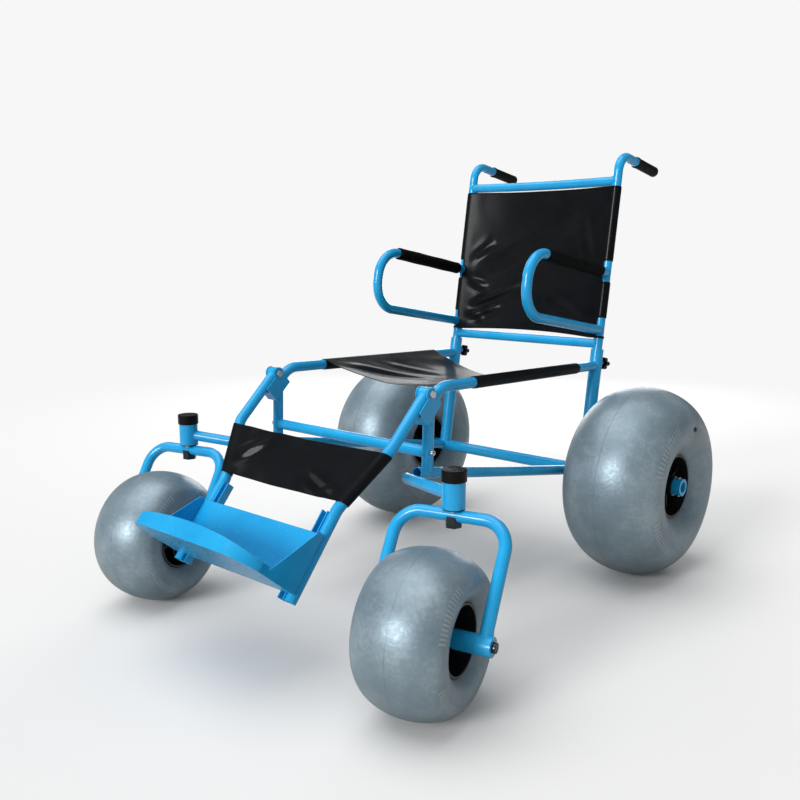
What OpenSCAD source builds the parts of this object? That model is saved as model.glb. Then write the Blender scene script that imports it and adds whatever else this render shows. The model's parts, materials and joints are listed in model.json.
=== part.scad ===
// Beach wheelchair: welded tube chassis, four balloon wheels, front pair on casters,
// lift-off back with push handles and arm loops, swing-up leg rest and three slung covers.
// Millimetres. The chair faces -Y, +X is the sitter's left, the floor is Z = 0.

/* [Frame] */
// Distance between the two side frames, centre to centre
seat_w = 482; // [420:1:540]
// Outside diameter of the frame tubes
tube_d = 25; // [22:0.5:28]
// Wall of every tube
tube_t = 2; // [1.5:0.1:3]
// Rear axle line, behind the middle of the chair
axle_y = 396; // [340:1:440]
// Outside diameter of the rear axle tube
axle_d = 32; // [30:0.5:36]
// Front posts, ahead of the rear axle
post_reach = 672; // [620:1:720]
// Height of the seat rails at the back posts
seat_h = 528; // [500:1:560]
// Upward slope of the seat rails towards the front, degrees
seat_rise = 1.8; // [0:0.1:4]
// Bend radius where a seat rail turns down into its front post
front_bend_r = 60; // [50:1:80]
// Height of the bottom rails under the front posts
rail_h = 367; // [345:1:390]
// Front cross tube above the bottom rails
cross_above = 46; // [38:1:80]

/* [Back] */
// Backward lean of the back posts, degrees
back_lean = 9.3; // [5:0.1:14]
// Top of the post sockets above the seat rails
socket_above = 45.2; // [40:0.1:55]
// Wall of the plastic liners in the sockets
liner_t = 2.5; // [2:0.1:4]
// Depth a back post goes into its socket
insert_l = 134; // [100:1:180]
// Clamp knob below the top of its socket
knob_down = 36; // [25:1:45]
// Clamp knob diameter over its lobes
knob_d = 34; // [28:1:44]
// Lower back bar above the sockets
low_bar_gap = 15; // [14:0.5:25]
// Upper back bar, measured up the posts from the rear axle
top_bar_up = 789; // [740:1:830]
// Backward bow of the upper back bar
top_bar_bow = 12; // [4:1:30]
// Push handles above the upper back bar
handle_above = 72; // [60:1:100]
// Push handle length behind the posts
handle_reach = 212; // [180:1:240]
// Bend radius of the push handles
handle_bend_r = 45; // [35:1:60]
// Wall of the rubber grips
grip_t = 3; // [2.5:0.5:6]
// Rubber grip length
grip_len = 122; // [90:1:140]
// Lower run of an arm loop above the lower back bar
arm_above = 37; // [33:1:50]
// Height of an arm loop between its two runs
arm_gap = 157; // [140:1:175]
// Arm loop length ahead of the posts
arm_reach = 384; // [340:1:420]
// Bend radius of the arm loops, as a share of their height
arm_bend_share = 0.446; // [0.35:0.001:0.48]
// Wall of the foam sleeves
foam_t = 4; // [3:0.5:8]
// Bare tube between a foam sleeve and its post
foam_bare = 34; // [25:1:90]

/* [Casters] */
// Caster stems, out from the side frames
stem_out = 179; // [165:1:200]
// Caster stems, ahead of the front posts
stem_ahead = 145; // [125:1:170]
// Outside diameter of the head tubes
head_d = 45; // [40:0.5:52]
// Bottom of the head tubes above the front wheel centres
crown_rise = 203; // [195:1:225]
// Length of the head tubes
head_len = 64; // [55:1:80]
// Caster stem diameter
stem_d = 20; // [16:0.5:24]
// Wheel centre ahead of its stem
trail = 120; // [100:1:122]
// Swivel of both casters in the pose shown, degrees
caster_turn = 13; // [-20:1:20]
// Gap between a fork leg and its tyre
fork_gap = 8; // [6:0.5:14]
// Bend radius of the fork shoulders
fork_bend_r = 52; // [40:1:65]
// Outside diameter of the fork's axle bosses
boss_d = 37; // [32:0.5:44]
// Front axle bolt diameter
bolt_d = 12; // [10:0.5:16]

/* [Wheels] */
// Rear tyre radius
rear_r = 245; // [235:1:252]
// Half of the rear tyre width
rear_half = 130; // [115:1:135]
// Rear tyres, out from the centre line of the side frames
rear_gap = 35; // [28:1:50]
// Radius of the rear hub drum
rear_drum_r = 80; // [70:1:90]
// Front tyre radius
front_r = 155; // [148:1:157]
// Half of the front tyre width
front_half = 95; // [85:1:97]
// Radius of the front hub drum
front_drum_r = 67; // [58:1:70]
// Wall of the blown tyres
tyre_t = 4; // [3:0.5:6]

/* [Leg rest] */
// Leg pivot, ahead of the front posts
pivot_ahead = 12; // [8:1:20]
// Leg pivot below the front corner of the seat rails
pivot_drop = 9.6; // [0:0.1:20]
// Downward slope of the upper legs, degrees
leg_slope = 43; // [35:0.5:50]
// Length of the upper legs down to the first bend
leg_upper = 150; // [120:1:170]
// Length of the inward run, under the calf strap
leg_inward = 150; // [135:1:170]
// Lower legs, in from the side frames
leg_tuck = 60; // [50:1:80]
// Downward slope of the lower legs, degrees
shin_slope = 50; // [45:0.5:56]
// Length of the lower legs
shin_l = 206; // [190:1:225]
// Bend radius of the legs
leg_bend_r = 45; // [35:1:60]
// Pivot bolt diameter
pivot_d = 10; // [8:0.5:12]
// Height of the heel panel up the legs
heel_h = 130; // [100:1:150]
// Depth of the sole from heel to toe
sole_l = 165; // [140:1:185]
// Corner radius of the toe
toe_r = 75; // [60:1:95]
// Length of the leg ends below the sole
heel_past = 14; // [6:1:25]
// Height of the toe lip in its middle
lip_h = 38; // [25:1:45]
// Height of the toe lip at its ends
lip_end_h = 20; // [10:1:24]
// Sheet thickness of the foot pan
sheet_t = 2.5; // [1.5:0.5:4]

/* [Covers] */
// Thickness of the coated cloth
cloth_t = 2; // [1.5:0.1:3]
// Bare rail between the seat cover and the back posts
seat_bare = 105; // [60:1:120]
// Bare rail between the seat cover and the front corner
seat_front_bare = 154; // [110:1:190]
// Sag of the seat cover at its back edge
seat_sag = 62; // [30:1:80]
// Sag of the seat cover at its front edge
seat_front_sag = 40; // [20:1:60]
// Lower edge of the back cover above the lower bar
back_low_gap = 14; // [13:0.5:18]
// Upper edge of the back cover below the upper bar
back_top_gap = 15; // [13:0.5:60]
// Backward belly of the back cover
back_belly = 26; // [8:1:40]
// Rise of the back cover's lower edge in its middle
back_arch = 10; // [0:1:20]
// Bare post above and below each arm joint
arm_bare = 27; // [22:1:32]
// Sag of the calf strap
strap_sag = 10; // [4:1:20]

/* [Fits] */
// Radial clearance of a shaft turning or sliding in its hole
run_fit = 0.05; // [0.01:0.01:0.1]
// Side play between pieces that turn past each other
side_play = 0.5; // [0.4:0.1:1]
// Gap left for the weld where a tube is coped to another
weld_gap = 0.2; // [0.1:0.05:0.4]
// Washer and flange thickness
flange_t = 2; // [1.5:0.5:3]

/* [Hidden] */
// Steps of a full circle, of a wide shallow arc and of the covers
round_steps = 64;
bow_steps = 1440;
hem_steps = 12;
span_steps = 20;
cover_steps = 12;
strap_steps = 6;
$fn = round_steps;
sides = [1, -1];
// Overrun of every cutter past the face it opens
over = 1;
// A bend is this much thicker than the tube it joins
bend_swell = 0.6;

// Sizes that follow from the ones above
half_w = seat_w / 2;
tube_r = tube_d / 2;
coped_d = tube_d + 2 * weld_gap;
cross_h = rail_h + cross_above;
socket_d = tube_d + 2 * liner_t + 2 * tube_t;
socket_rad = socket_d / 2;
grip_d = tube_d + 2 * grip_t;
foam_d = tube_d + 2 * foam_t;
// Heights along the back posts, from the rear axle
socket_up = (seat_h - rear_r) / cos(back_lean) + socket_above;
post_end_up = socket_up - insert_l;
knob_up = socket_up - knob_down;
low_bar_up = socket_up + low_bar_gap;
arm_low = low_bar_up + arm_above;
arm_up = arm_low + arm_gap;
arm_bend_r = arm_gap * arm_bend_share;
handle_up = top_bar_up + handle_above;
back_low_up = low_bar_up + back_low_gap;
back_top_up = top_bar_up - back_top_gap;
// Places of the wheels and legs
rear_x = half_w + rear_gap + rear_half;
stem_x = half_w + stem_out;
stem_reach = post_reach + stem_ahead;
stem_y = axle_y - stem_reach;
head_h = front_r + crown_rise;
leg_x = half_w - leg_tuck;

// Outriggers: sweep to the stems, drop under the rails, and height of the joint up the head tube
outrigger_in = tube_d + flange_t;
outrigger_sweep = 105;
outrigger_drop = 9;
head_joint_share = 0.38;
// Rear axle ends: collars, inner stops and split pins
collar_l = 22;
collar_wall = 6;
collar_d = axle_d + 2 * collar_wall;
stop_l = 6;
pin_d = 5;
pin_head_d = 9;
pin_head_l = 3;
// Dome bolts of the cross tube
cross_bolt_d = 8;
cross_bolt_l = 40;
dome_d = 14;
// Caster heads: tube wall, bushes, caps and the head of the stem
head_t = 3;
head_bore = head_d - 2 * head_t;
bush_l = 20;
cap_t = 2.5;
cap_skirt = 12;
stem_head_l = 6;
stem_head_play = 3;
stem_head_d = head_bore - 2 * stem_head_play;
stem_nut_l = 8;
nut_d = 34;
// Clamp knobs: threaded boss, stud and lobed head
stud_d = 8;
knob_boss_d = 16;
knob_boss_l = 12;
knob_l = 20;
knob_neck_l = 4;
lobes = 5;
lobe_share = 0.19;
liner_floor = 3;
// Leg pivots: cheek plates, eyes a little narrower than the legs, stop blocks and bolt heads
cheek_t = 3;
cheek_r = 15;
cheek_tail_share = 0.6;
eye_wall = 2;
eye_d = tube_d + 2 * eye_wall;
eye_inset = 1.5;
eye_w = tube_d - 2 * eye_inset;
stop_len_share = 0.2833;
stop_deep_share = 0.2288;
pivot_head_d = 16;
pivot_head_l = 6;
// Closed end of a grip
grip_end = 4;
// Forks: bosses past the legs and the heads of the axle bolts
boss_past = 5;
axle_head_d = 20;
axle_head_l = 7;
front_barrel_share = 0.78;
// Tyre shoulders, as a share of the rounding that just reaches the hub
rear_shoulder_share = 1.15;
front_shoulder_share = 1.09;
rear_round = (rear_r - rear_drum_r) / 2 * rear_shoulder_share;
front_round = (front_r - front_drum_r) / 2 * front_shoulder_share;
// Ribbed drum hubs
hub_t = 4;
web_t = 8;
rib_t = 4;
ribs = 6;
rib_share = 0.8;
barrel_t = 9;
// Foot pan: weld overlap, channel strips, corner arcs a little wider than tangent ones, gussets
weld_bite = 1;
channel_w = 18;
channel_deep = 20;
channel_t = 3;
channel_share = 0.82;
corner_share = 1.03;
gusset_top = 14;
gusset_tip = 12;
// Covers: play round the tubes, and the angle where a hem ends behind its tube
cloth_gap = 0.3;
hem_end = -230;
// Length of a cover's row, and of the step beside an arm joint
row_l = 36;
notch_step = 3;
// Part of the inward leg run that the calf strap takes
strap_from_share = 0.1;
strap_to_share = 0.92;
// Creases of the covers: [from x, from z, to x, to z, depth, width], with z as a share of the
// length of the cover and the rest as shares of half the seat width
seat_crease_shares = [
    [-0.954, 0.87, -0.249, 0.544, 0.0166, 0.0913],
    [0.954, 0.914, 0.373, 0.653, 0.0166, 0.0913]
];
back_crease_shares = [
    [0.705, 0.291, -0.83, 0.799, 0.029, 0.108],
    [0.892, 0.097, 0.083, 0.315, 0.0249, 0.0996],
    [-0.83, 0.605, -0.892, 0.218, 0.0166, 0.083]
];
strap_crease_shares = [
    [-0.83, 0.041, -0.498, 0.772, 0.0124, 0.058],
    [0.788, 0.203, 0.456, 0.894, 0.0124, 0.058]
];

BLUE = [0.04, 0.42, 0.85];
BLACK = [0.03, 0.03, 0.035];
GREY = [0.55, 0.6, 0.65];
STEEL = [0.75, 0.76, 0.78];

// Vectors and tube paths

function unit(v) = v / norm(v);
function across(v) = unit(cross(v, abs(v[0]) < abs(v[2]) ? [1, 0, 0] : [0, 0, 1]));
function turn_at(p, i) = acos(unit(p[i] - p[i - 1]) * unit(p[i + 1] - p[i]));
function inward(p, i) = unit(unit(p[i + 1] - p[i]) - unit(p[i] - p[i - 1]) * cos(turn_at(p, i)));
function setback(p, i, bend) = bend * tan(turn_at(p, i) / 2);
function ends_moved(p, first, last) = [
    for (i = [0:len(p) - 1])
        i == 0 ? p[0] - unit(p[1] - p[0]) * first
        : i == len(p) - 1 ? p[i] + unit(p[i] - p[i - 1]) * last
        : p[i]
];

// Children drawn with their own x, y and z axes laid along the given ones
module laid(at, x, y, z) {
    multmatrix([
        [x[0], y[0], z[0], at[0]],
        [x[1], y[1], z[1], at[1]],
        [x[2], y[2], z[2], at[2]],
        [0, 0, 0, 1]
    ]) children();
}

module along(a, b) {
    z = unit(b - a);
    x = across(z);
    laid(a, x, cross(z, x), z) children();
}

module rod(a, b, d) {
    along(a, b) cylinder(d = d, h = norm(b - a));
}

// From the origin along +z, bending towards +x
module elbow(turn, bend, d) {
    laid([bend, 0, 0], [-1, 0, 0], [0, 0, 1], [0, 1, 0])
        rotate_extrude(angle = turn) translate([bend, 0]) circle(d = d);
}

// One straight run of a path, then its bend and the runs that follow it.
// A bend with swell is that much thicker than its runs, which then reach into it.
module run(p, i, bend, d, swell, x, y) {
    last = len(p) - 1;
    from = i > 0 ? setback(p, i, bend) : 0;
    to = i < last - 1 ? setback(p, i + 1, bend) : 0;
    l = norm(p[i + 1] - p[i]) - from - to;
    into = swell > 0 ? over : 0;
    before = i > 0 ? into : 0;
    after = i < last - 1 ? into : 0;
    translate([0, 0, -before]) cylinder(d = d, h = l + before + after);
    if (i < last - 1) {
        z = unit(p[i + 1] - p[i]);
        m = inward(p, i + 1);
        turn = turn_at(p, i + 1);
        translate([0, 0, l]) rotate(atan2(m * y, m * x)) {
            elbow(turn, bend, d + swell);
            translate([bend * (1 - cos(turn)), 0, bend * sin(turn)]) rotate([0, turn, 0])
                run(p, i + 1, bend, d, swell, m * cos(turn) - z * sin(turn), cross(z, m));
        }
    }
}

// Solid round bar along straight runs joined by bends
module bar(p, bend, d, swell = 0) {
    z = unit(p[1] - p[0]);
    x = len(p) > 2 ? inward(p, 1) : across(z);
    laid(p[0], x, cross(z, x), z) run(p, 0, bend, d, swell, x, cross(z, x));
}

// The same bar made hollow, its ends open or closed by a wall
module tube(p, bend = 0, d = tube_d, closed = false, swell = 0) {
    difference() {
        bar(p, bend, d, swell);
        bar(ends_moved(p, closed ? -tube_t : over, over), bend, d - 2 * tube_t, swell);
    }
}

// Frame points; s is 1 on the sitter's left and -1 on the right

// Both casters stand turned to the left, so the middle plane is set to the right of the origin
// by half of what the left caster's axle reaches out past the right rear tyre
fork_half = front_half + fork_gap + tube_r;
boss_l = fork_half + tube_r + boss_past;
caster_reach = stem_x + trail * sin(caster_turn) + (boss_l + axle_head_l) * cos(caster_turn);
mid_x = (rear_x + rear_half - caster_reach) / 2;

axle_at = [mid_x, axle_y, rear_r];
rail_slope = (rail_h - rear_r) / post_reach;
function rail_at(s, reach) = [mid_x + s * half_w, axle_y - reach, rear_r + rail_slope * reach];

// A point of the leaning back: out, behind the posts, up the posts
function back_at(x, behind, up) = axle_at + [
    x,
    behind * cos(back_lean) + up * sin(back_lean),
    up * cos(back_lean) - behind * sin(back_lean)
];
back_along = [0, sin(back_lean), cos(back_lean)];
back_behind = [0, cos(back_lean), -sin(back_lean)];

module on_back(x, up) {
    laid(back_at(x, 0, up), [1, 0, 0], back_behind, back_along) children();
}

seat_dir = [0, -cos(seat_rise), sin(seat_rise)];
seat_back_reach = -(seat_h - rear_r) * tan(back_lean);
seat_l = (post_reach - seat_back_reach) / cos(seat_rise) - seat_bare - seat_front_bare;
function seat_at(s, reach) = [
    mid_x + s * half_w,
    axle_y - reach,
    seat_h + (reach - seat_back_reach) * tan(seat_rise)
];
// The front post stands square to the seat rail and ends inside the bottom rail
post_dir = [0, -sin(seat_rise), -cos(seat_rise)];
post_drop = seat_at(1, post_reach)[2] - rail_h;
function side_path(s) = [
    seat_at(s, seat_back_reach),
    seat_at(s, post_reach),
    seat_at(s, post_reach) + post_dir * post_drop
];
function post_at(s, h) = let (corner = seat_at(s, post_reach))
    corner + post_dir * (corner[2] - h) / cos(seat_rise);

// Outriggers run from inside the side frames out and forward to the head tubes
outrigger_h = rail_h - outrigger_drop;
head_joint_h = head_h + head_len * head_joint_share;
function outrigger_path(s) = [
    [mid_x + s * (half_w - outrigger_in), stem_y + outrigger_sweep, outrigger_h],
    [mid_x + s * stem_x, stem_y, head_joint_h]
];

module at_stem(s, h) {
    translate([mid_x + s * stem_x, stem_y, h]) children();
}

module axle_tube_core() {
    rod(axle_at - [axle_end, 0, 0], axle_at + [axle_end, 0, 0], axle_d);
}

module socket_core(s) {
    rod(back_at(s * half_w, 0, 0), back_at(s * half_w, 0, socket_up), socket_d);
}

module head_core(s) {
    at_stem(s, head_h) cylinder(d = head_d, h = head_len);
}

// Rear axle: one tube through both hubs, inner stops, pinned end collars

rear_face = rear_half - tyre_dip(rear_half, rear_drum_r, rear_r, rear_round);
rear_barrel = rear_face - flange_t;
pin_inset = collar_l / 2;
axle_end = rear_x + rear_barrel + side_play + collar_l;

module axle_tube() {
    color(BLUE) difference() {
        tube([axle_at - [axle_end, 0, 0], axle_at + [axle_end, 0, 0]], d = axle_d);
        pin_holes();
    }
}

module pin_holes() {
    for (s = sides)
        translate(axle_at + [s * (axle_end - pin_inset), 0, 0])
            cylinder(d = pin_d, h = collar_d + 2 * over, center = true);
}

module axle_ring(from, l) {
    difference() {
        rod(axle_at + [from, 0, 0], axle_at + [from + l, 0, 0], collar_d);
        axle_tube_core();
    }
}

module axle_stops() {
    color(BLUE) for (s = sides)
        axle_ring(s * (rear_x - rear_barrel - side_play) - (s > 0 ? stop_l : 0), stop_l);
}

module axle_collars() {
    color(BLUE) difference() {
        for (s = sides)
            axle_ring(s * (axle_end - collar_l / 2) - collar_l / 2, collar_l);
        pin_holes();
    }
}

module cotter_pins() {
    color(STEEL) for (s = sides)
        translate(axle_at + [s * (axle_end - pin_inset), 0, 0]) {
            translate([0, 0, -collar_d / 2 - pin_head_l]) cylinder(d = pin_d, h = collar_d + pin_head_l);
            translate([0, 0, collar_d / 2]) cylinder(d = pin_head_d, h = pin_head_l);
        }
}

// Chassis

module rail(s) {
    color(BLUE) difference() {
        tube([rail_at(s, 0), rail_at(s, stem_reach - outrigger_sweep)]);
        axle_tube_core();
        socket_core(s);
        bar(outrigger_path(s), 0, coped_d);
    }
}
module rail_l() { rail(1); }
module rail_r() { rail(-1); }

module side(s) {
    color(BLUE) difference() {
        tube(side_path(s), front_bend_r);
        socket_core(s);
        rod(rail_at(s, 0), rail_at(s, stem_reach), coped_d);
        translate(post_at(s, cross_h)) rotate([0, 90, 0])
            cylinder(d = cross_bolt_d, h = tube_d + 2 * over, center = true);
    }
}
module side_l() { side(1); }
module side_r() { side(-1); }

module cross_tube() {
    color(BLUE) difference() {
        tube([post_at(-1, cross_h), post_at(1, cross_h)]);
        for (s = sides)
            bar(side_path(s), front_bend_r, coped_d);
    }
}

module cross_bolts() {
    color(STEEL) for (s = sides)
        translate(post_at(s, cross_h) + [s * tube_r, 0, 0]) rotate([0, s * 90, 0]) {
            difference() {
                sphere(d = dome_d);
                translate([0, 0, -dome_d]) cylinder(d = 2 * dome_d, h = dome_d);
            }
            translate([0, 0, -cross_bolt_l]) cylinder(d = cross_bolt_d, h = cross_bolt_l);
        }
}

module outrigger(s) {
    color(BLUE) difference() {
        tube(outrigger_path(s), closed = true);
        head_core(s);
    }
}
module outrigger_l() { outrigger(1); }
module outrigger_r() { outrigger(-1); }

// Head tubes with a plain bush at each end and a black cap over the stem nut

module head(s) {
    color(BLUE) difference() {
        head_core(s);
        at_stem(s, head_h - over) cylinder(d = head_bore, h = head_len + 2 * over);
    }
}
module head_l() { head(1); }
module head_r() { head(-1); }

module bush() {
    difference() {
        union() {
            cylinder(d = head_bore, h = bush_l);
            translate([0, 0, -flange_t]) cylinder(d = head_d, h = flange_t);
        }
        translate([0, 0, -flange_t - over])
            cylinder(d = stem_d + 2 * run_fit, h = bush_l + flange_t + 2 * over);
    }
}

module head_bushes() {
    color(BLACK) for (s = sides) {
        at_stem(s, head_h) bush();
        at_stem(s, head_h + head_len) mirror([0, 0, 1]) bush();
    }
}

cap_room = flange_t + side_play + stem_head_l + side_play;
module head_caps() {
    color(BLACK) for (s = sides)
        at_stem(s, head_h + head_len - cap_skirt) difference() {
            cylinder(d = head_d + 2 * cap_t, h = cap_skirt + cap_room + cap_t);
            translate([0, 0, -over]) cylinder(d = head_d, h = cap_skirt + cap_room + over);
        }
}

// Sockets for the back posts, lined, with a tapped boss behind for the clamp knob

liner_d = socket_d - 2 * tube_t;
liner_up = post_end_up - side_play;

module stud_hole(s) {
    on_back(s * half_w, knob_up) rotate([-90, 0, 0])
        cylinder(d = stud_d + 2 * run_fit, h = socket_d + knob_boss_l);
}

module socket(s) {
    color(BLUE) difference() {
        union() {
            socket_core(s);
            on_back(s * half_w, knob_up) rotate([-90, 0, 0])
                cylinder(d = knob_boss_d, h = socket_rad + knob_boss_l);
        }
        rod(back_at(s * half_w, 0, -over), back_at(s * half_w, 0, socket_up + over), liner_d);
        axle_tube_core();
        stud_hole(s);
    }
}
module socket_l() { socket(1); }
module socket_r() { socket(-1); }

module liners() {
    color(BLACK) for (s = sides) difference() {
        rod(back_at(s * half_w, 0, liner_up - liner_floor), back_at(s * half_w, 0, socket_up), liner_d);
        rod(back_at(s * half_w, 0, liner_up), back_at(s * half_w, 0, socket_up + over),
            tube_d + 2 * run_fit);
        stud_hole(s);
    }
}

// Leg rest pivots: cheek plates on the front bends, a stop under each leg

cheek_gap = tube_d + 2 * side_play;
pivot_at = [mid_x, axle_y - post_reach - pivot_ahead, seat_at(1, post_reach)[2] - pivot_drop];
leg_dir = [0, -cos(leg_slope), -sin(leg_slope)];
leg_under = [0, sin(leg_slope), -cos(leg_slope)];
front_post_h = seat_at(1, post_reach)[2] - rail_h;
stop_from = eye_d / 2 + over;
stop_len = front_post_h * stop_len_share;
stop_deep = front_post_h * stop_deep_share;

// Leg pivot plane seen from the side: along the leg, then under it
module leg_plane(s) {
    laid(pivot_at + [s * half_w, 0, 0], leg_dir, leg_under, [1, 0, 0]) children();
}

module cheek_outline() {
    circle(r = cheek_r);
    translate([-cheek_r * cheek_tail_share, 0]) square([stop_len + cheek_r * cheek_tail_share, stop_deep]);
}

module bracket(s) {
    color(BLUE) difference() {
        leg_plane(s) {
            for (side = sides)
                translate([0, 0, side * (cheek_gap + cheek_t) / 2])
                    linear_extrude(cheek_t, center = true) cheek_outline();
            translate([stop_from, tube_r + side_play, -cheek_gap / 2])
                cube([stop_len - stop_from, stop_deep - tube_r - side_play, cheek_gap]);
        }
        bar(side_path(s), front_bend_r, tube_d);
        leg_plane(s) cylinder(d = pivot_d, h = seat_w, center = true);
    }
}
module bracket_l() { bracket(1); }
module bracket_r() { bracket(-1); }

module pivot_bolts() {
    grip = cheek_gap + 2 * cheek_t;
    color(STEEL) for (s = sides)
        leg_plane(s) {
            cylinder(d = pivot_d, h = grip, center = true);
            for (side = sides)
                translate([0, 0, side * (grip + pivot_head_l) / 2])
                    cylinder(d = pivot_head_d, h = pivot_head_l, center = true);
        }
}

// Covers: one coated sheet round a tube, across with its sag, and round the other tube

// The sleeve is drawn with flats, which clear the tube
hem_flat = (90 - hem_end) / hem_steps;
sleeve_r = (tube_r + cloth_gap) / cos(hem_flat / 2) + cloth_t / 2;

function reversed(list) = [for (i = [len(list) - 1:-1:0]) list[i]];
function dip_of(w, sag) = atan(2 * sag / w);

// One face of the sheet, off from its middle. A station is [z, w, sag], with the tubes w to each
// side, or [z, w, sag, inset] for a sheet without hems that ends inset from the tubes.
function cover_face(st, off, stretch) = let (
    w = st[1],
    dip = dip_of(w, st[2]),
    edge = w - stretch * sleeve_r * sin(dip),
    hems = is_undef(st[3]),
    from = hems ? edge : w - st[3],
    inner = hems ? 1 : 0,
    hem = [for (k = [0:hem_steps]) let (a = hem_end + (90 + dip - hem_end) * k / hem_steps)
        [w + stretch * (sleeve_r + off) * cos(a), (sleeve_r + off) * sin(a)]],
    span = [for (k = [inner:span_steps - inner]) let (
        x = from * (1 - 2 * k / span_steps),
        tilt = atan(tan(dip) * x / edge),
        drop = tan(dip) * (edge * edge - x * x) / (2 * edge)
    ) [x - off * sin(tilt), sleeve_r * cos(dip) - drop + off * cos(tilt)]]
) hems ? concat(hem, span, [for (p = reversed(hem)) [-p[0], p[1]]]) : span;

// Height of a soft crease at a point of the sheet, and of all its creases
function crease(x, z, c) = let (
    way = [c[2] - c[0], c[3] - c[1]],
    from = [x - c[0], z - c[1]],
    share = way * from / (way * way),
    away = norm(from - way * share)
) share < 0 || share > 1 ? 0 : c[4] * sin(180 * share) * exp(-pow(away / c[5], 2));
function creased(x, z, creases) = [for (c = creases) crease(x, z, c)] * [for (c = creases) 1];
function crease_sizes(c, from, l) = [
    half_w * c[0], from + l * c[1],
    half_w * c[2], from + l * c[3],
    half_w * c[4], half_w * c[5]
];

// The sheet through all stations; arch lifts the middle of the first edge
module cover(stations, crease_shares, stretch = 1, arch = 0) {
    half = cloth_t / 2;
    last = len(stations) - 1;
    l = stations[last][0] - stations[0][0];
    creases = [for (c = crease_shares) crease_sizes(c, stations[0][0], l)];
    rings = [for (st = stations) concat(
        cover_face(st, half, stretch),
        reversed(cover_face(st, -half, stretch))
    )];
    n = len(rings[0]);
    points = [for (i = [0:last], p = rings[i]) let (
        st = stations[i],
        slack = max(0, 1 - pow(p[0] / (st[1] - tube_d), 2)),
        raise = arch * slack * (stations[last][0] - st[0]) / l
    ) [p[0], p[1] + slack * creased(p[0], st[0], creases), st[0] + raise]];
    walls = [for (i = [0:last - 1], j = [0:n - 1]) let (
        a = i * n + j,
        b = i * n + (j + 1) % n
    ) each [[a, a + n, b + n], [a, b + n, b]]];
    ends = [for (j = [0:n / 2 - 2]) let (k = n - 1 - j, e = last * n) each [
        [j, j + 1, k - 1], [j, k - 1, k],
        [e + j, e + k - 1, e + j + 1], [e + j, e + k, e + k - 1]
    ]];
    polyhedron(points, concat(walls, ends));
}

module seat_sling() {
    at = seat_at(0, seat_back_reach) + seat_dir * seat_bare;
    stations = [for (k = [0:cover_steps])
        [seat_l * k / cover_steps, half_w, seat_sag + (seat_front_sag - seat_sag) * k / cover_steps]];
    color(BLACK) laid(at, [1, 0, 0], cross(seat_dir, [1, 0, 0]), seat_dir)
        cover(stations, seat_crease_shares);
}

// Back sheet: it ends at the sleeves, and further in beside the arm joints. Marks are [z, inset].
sleeve_lap = sqrt(pow(sleeve_r + cloth_t / 2 + cloth_gap, 2) - pow(sleeve_r - cloth_t / 2, 2));
sleeve_inset = sleeve_lap + sleeve_r * sin(dip_of(half_w, back_belly));
arm_inset = tube_r + cloth_t / 2 + cloth_gap;
notch = tube_r + cloth_t / 2;
function back_marks() = concat(
    [[0, sleeve_inset]],
    [for (up = [arm_low, arm_up] - [back_low_up, back_low_up]) each [
        [max(over, up - notch - notch_step), sleeve_inset],
        [up - notch, arm_inset],
        [up + notch, arm_inset],
        [up + notch + notch_step, sleeve_inset]
    ]],
    [[back_top_up - back_low_up, sleeve_inset]]
);
// Rows of about equal length between the marks
function back_rows(marks) = concat(
    [marks[0]],
    [for (i = [1:len(marks) - 1]) let (n = ceil((marks[i][0] - marks[i - 1][0]) / row_l))
        for (k = [1:n]) marks[i - 1] + (marks[i] - marks[i - 1]) * k / n]
);
module back_sling() {
    stations = [for (row = back_rows(back_marks())) [row[0], half_w, back_belly, row[1]]];
    color(BLACK) on_back(0, back_low_up) rotate(180) cover(stations, back_crease_shares, arch = back_arch);
}

// Sewn sleeves of the back cover, open where the arm loops meet the posts
module back_hems() {
    runs = [
        [back_low_up, arm_low - tube_r - weld_gap],
        [arm_low + arm_bare, arm_up - arm_bare],
        [arm_up + arm_bare, back_top_up]
    ];
    color(BLACK) for (s = sides, r = runs)
        difference() {
            rod(back_at(s * half_w, 0, r[0]), back_at(s * half_w, 0, r[1]), 2 * sleeve_r + cloth_t);
            rod(back_at(s * half_w, 0, r[0] - over), back_at(s * half_w, 0, r[1] + over),
                tube_d + 2 * cloth_gap);
        }
}

// Back: posts with handles, bars, arm loops, foam and grips

function post_path(s) = [
    back_at(s * half_w, 0, post_end_up),
    back_at(s * half_w, 0, handle_up),
    back_at(s * half_w, handle_reach, handle_up)
];
module post(s) {
    color(BLUE) tube(post_path(s), handle_bend_r);
}
module post_l() { post(1); }
module post_r() { post(-1); }

module cut_by_posts() {
    difference() {
        children();
        for (s = sides)
            bar(post_path(s), handle_bend_r, coped_d);
    }
}

// Radius of an arc over a span with the given rise
function arc_radius(span, rise) = (span * span / 4 + rise * rise) / (2 * rise);

// One arc from post to post, on so wide a circle that it takes more steps
module bow(d) {
    r = arc_radius(seat_w, top_bar_bow);
    turn = 2 * asin(half_w / r);
    laid(back_at(0, top_bar_bow - r, top_bar_up), [1, 0, 0], back_behind, back_along)
        rotate(90 - turn / 2) rotate_extrude(angle = turn, $fn = bow_steps)
            translate([r, 0]) circle(d = d, $fn = round_steps);
}
module top_bar() {
    color(BLUE) cut_by_posts() difference() {
        bow(tube_d);
        bow(tube_d - 2 * tube_t);
    }
}

module low_bar() {
    color(BLUE) cut_by_posts()
        tube([back_at(-half_w, 0, low_bar_up), back_at(half_w, 0, low_bar_up)]);
}

function arm_path(s) = [
    back_at(s * half_w, 0, arm_up),
    back_at(s * half_w, -arm_reach, arm_up),
    back_at(s * half_w, -arm_reach, arm_low),
    back_at(s * half_w, 0, arm_low)
];
module arm(s) {
    color(BLUE) cut_by_posts() tube(arm_path(s), arm_bend_r, swell = bend_swell);
}
module arm_l() { arm(1); }
module arm_r() { arm(-1); }

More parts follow.
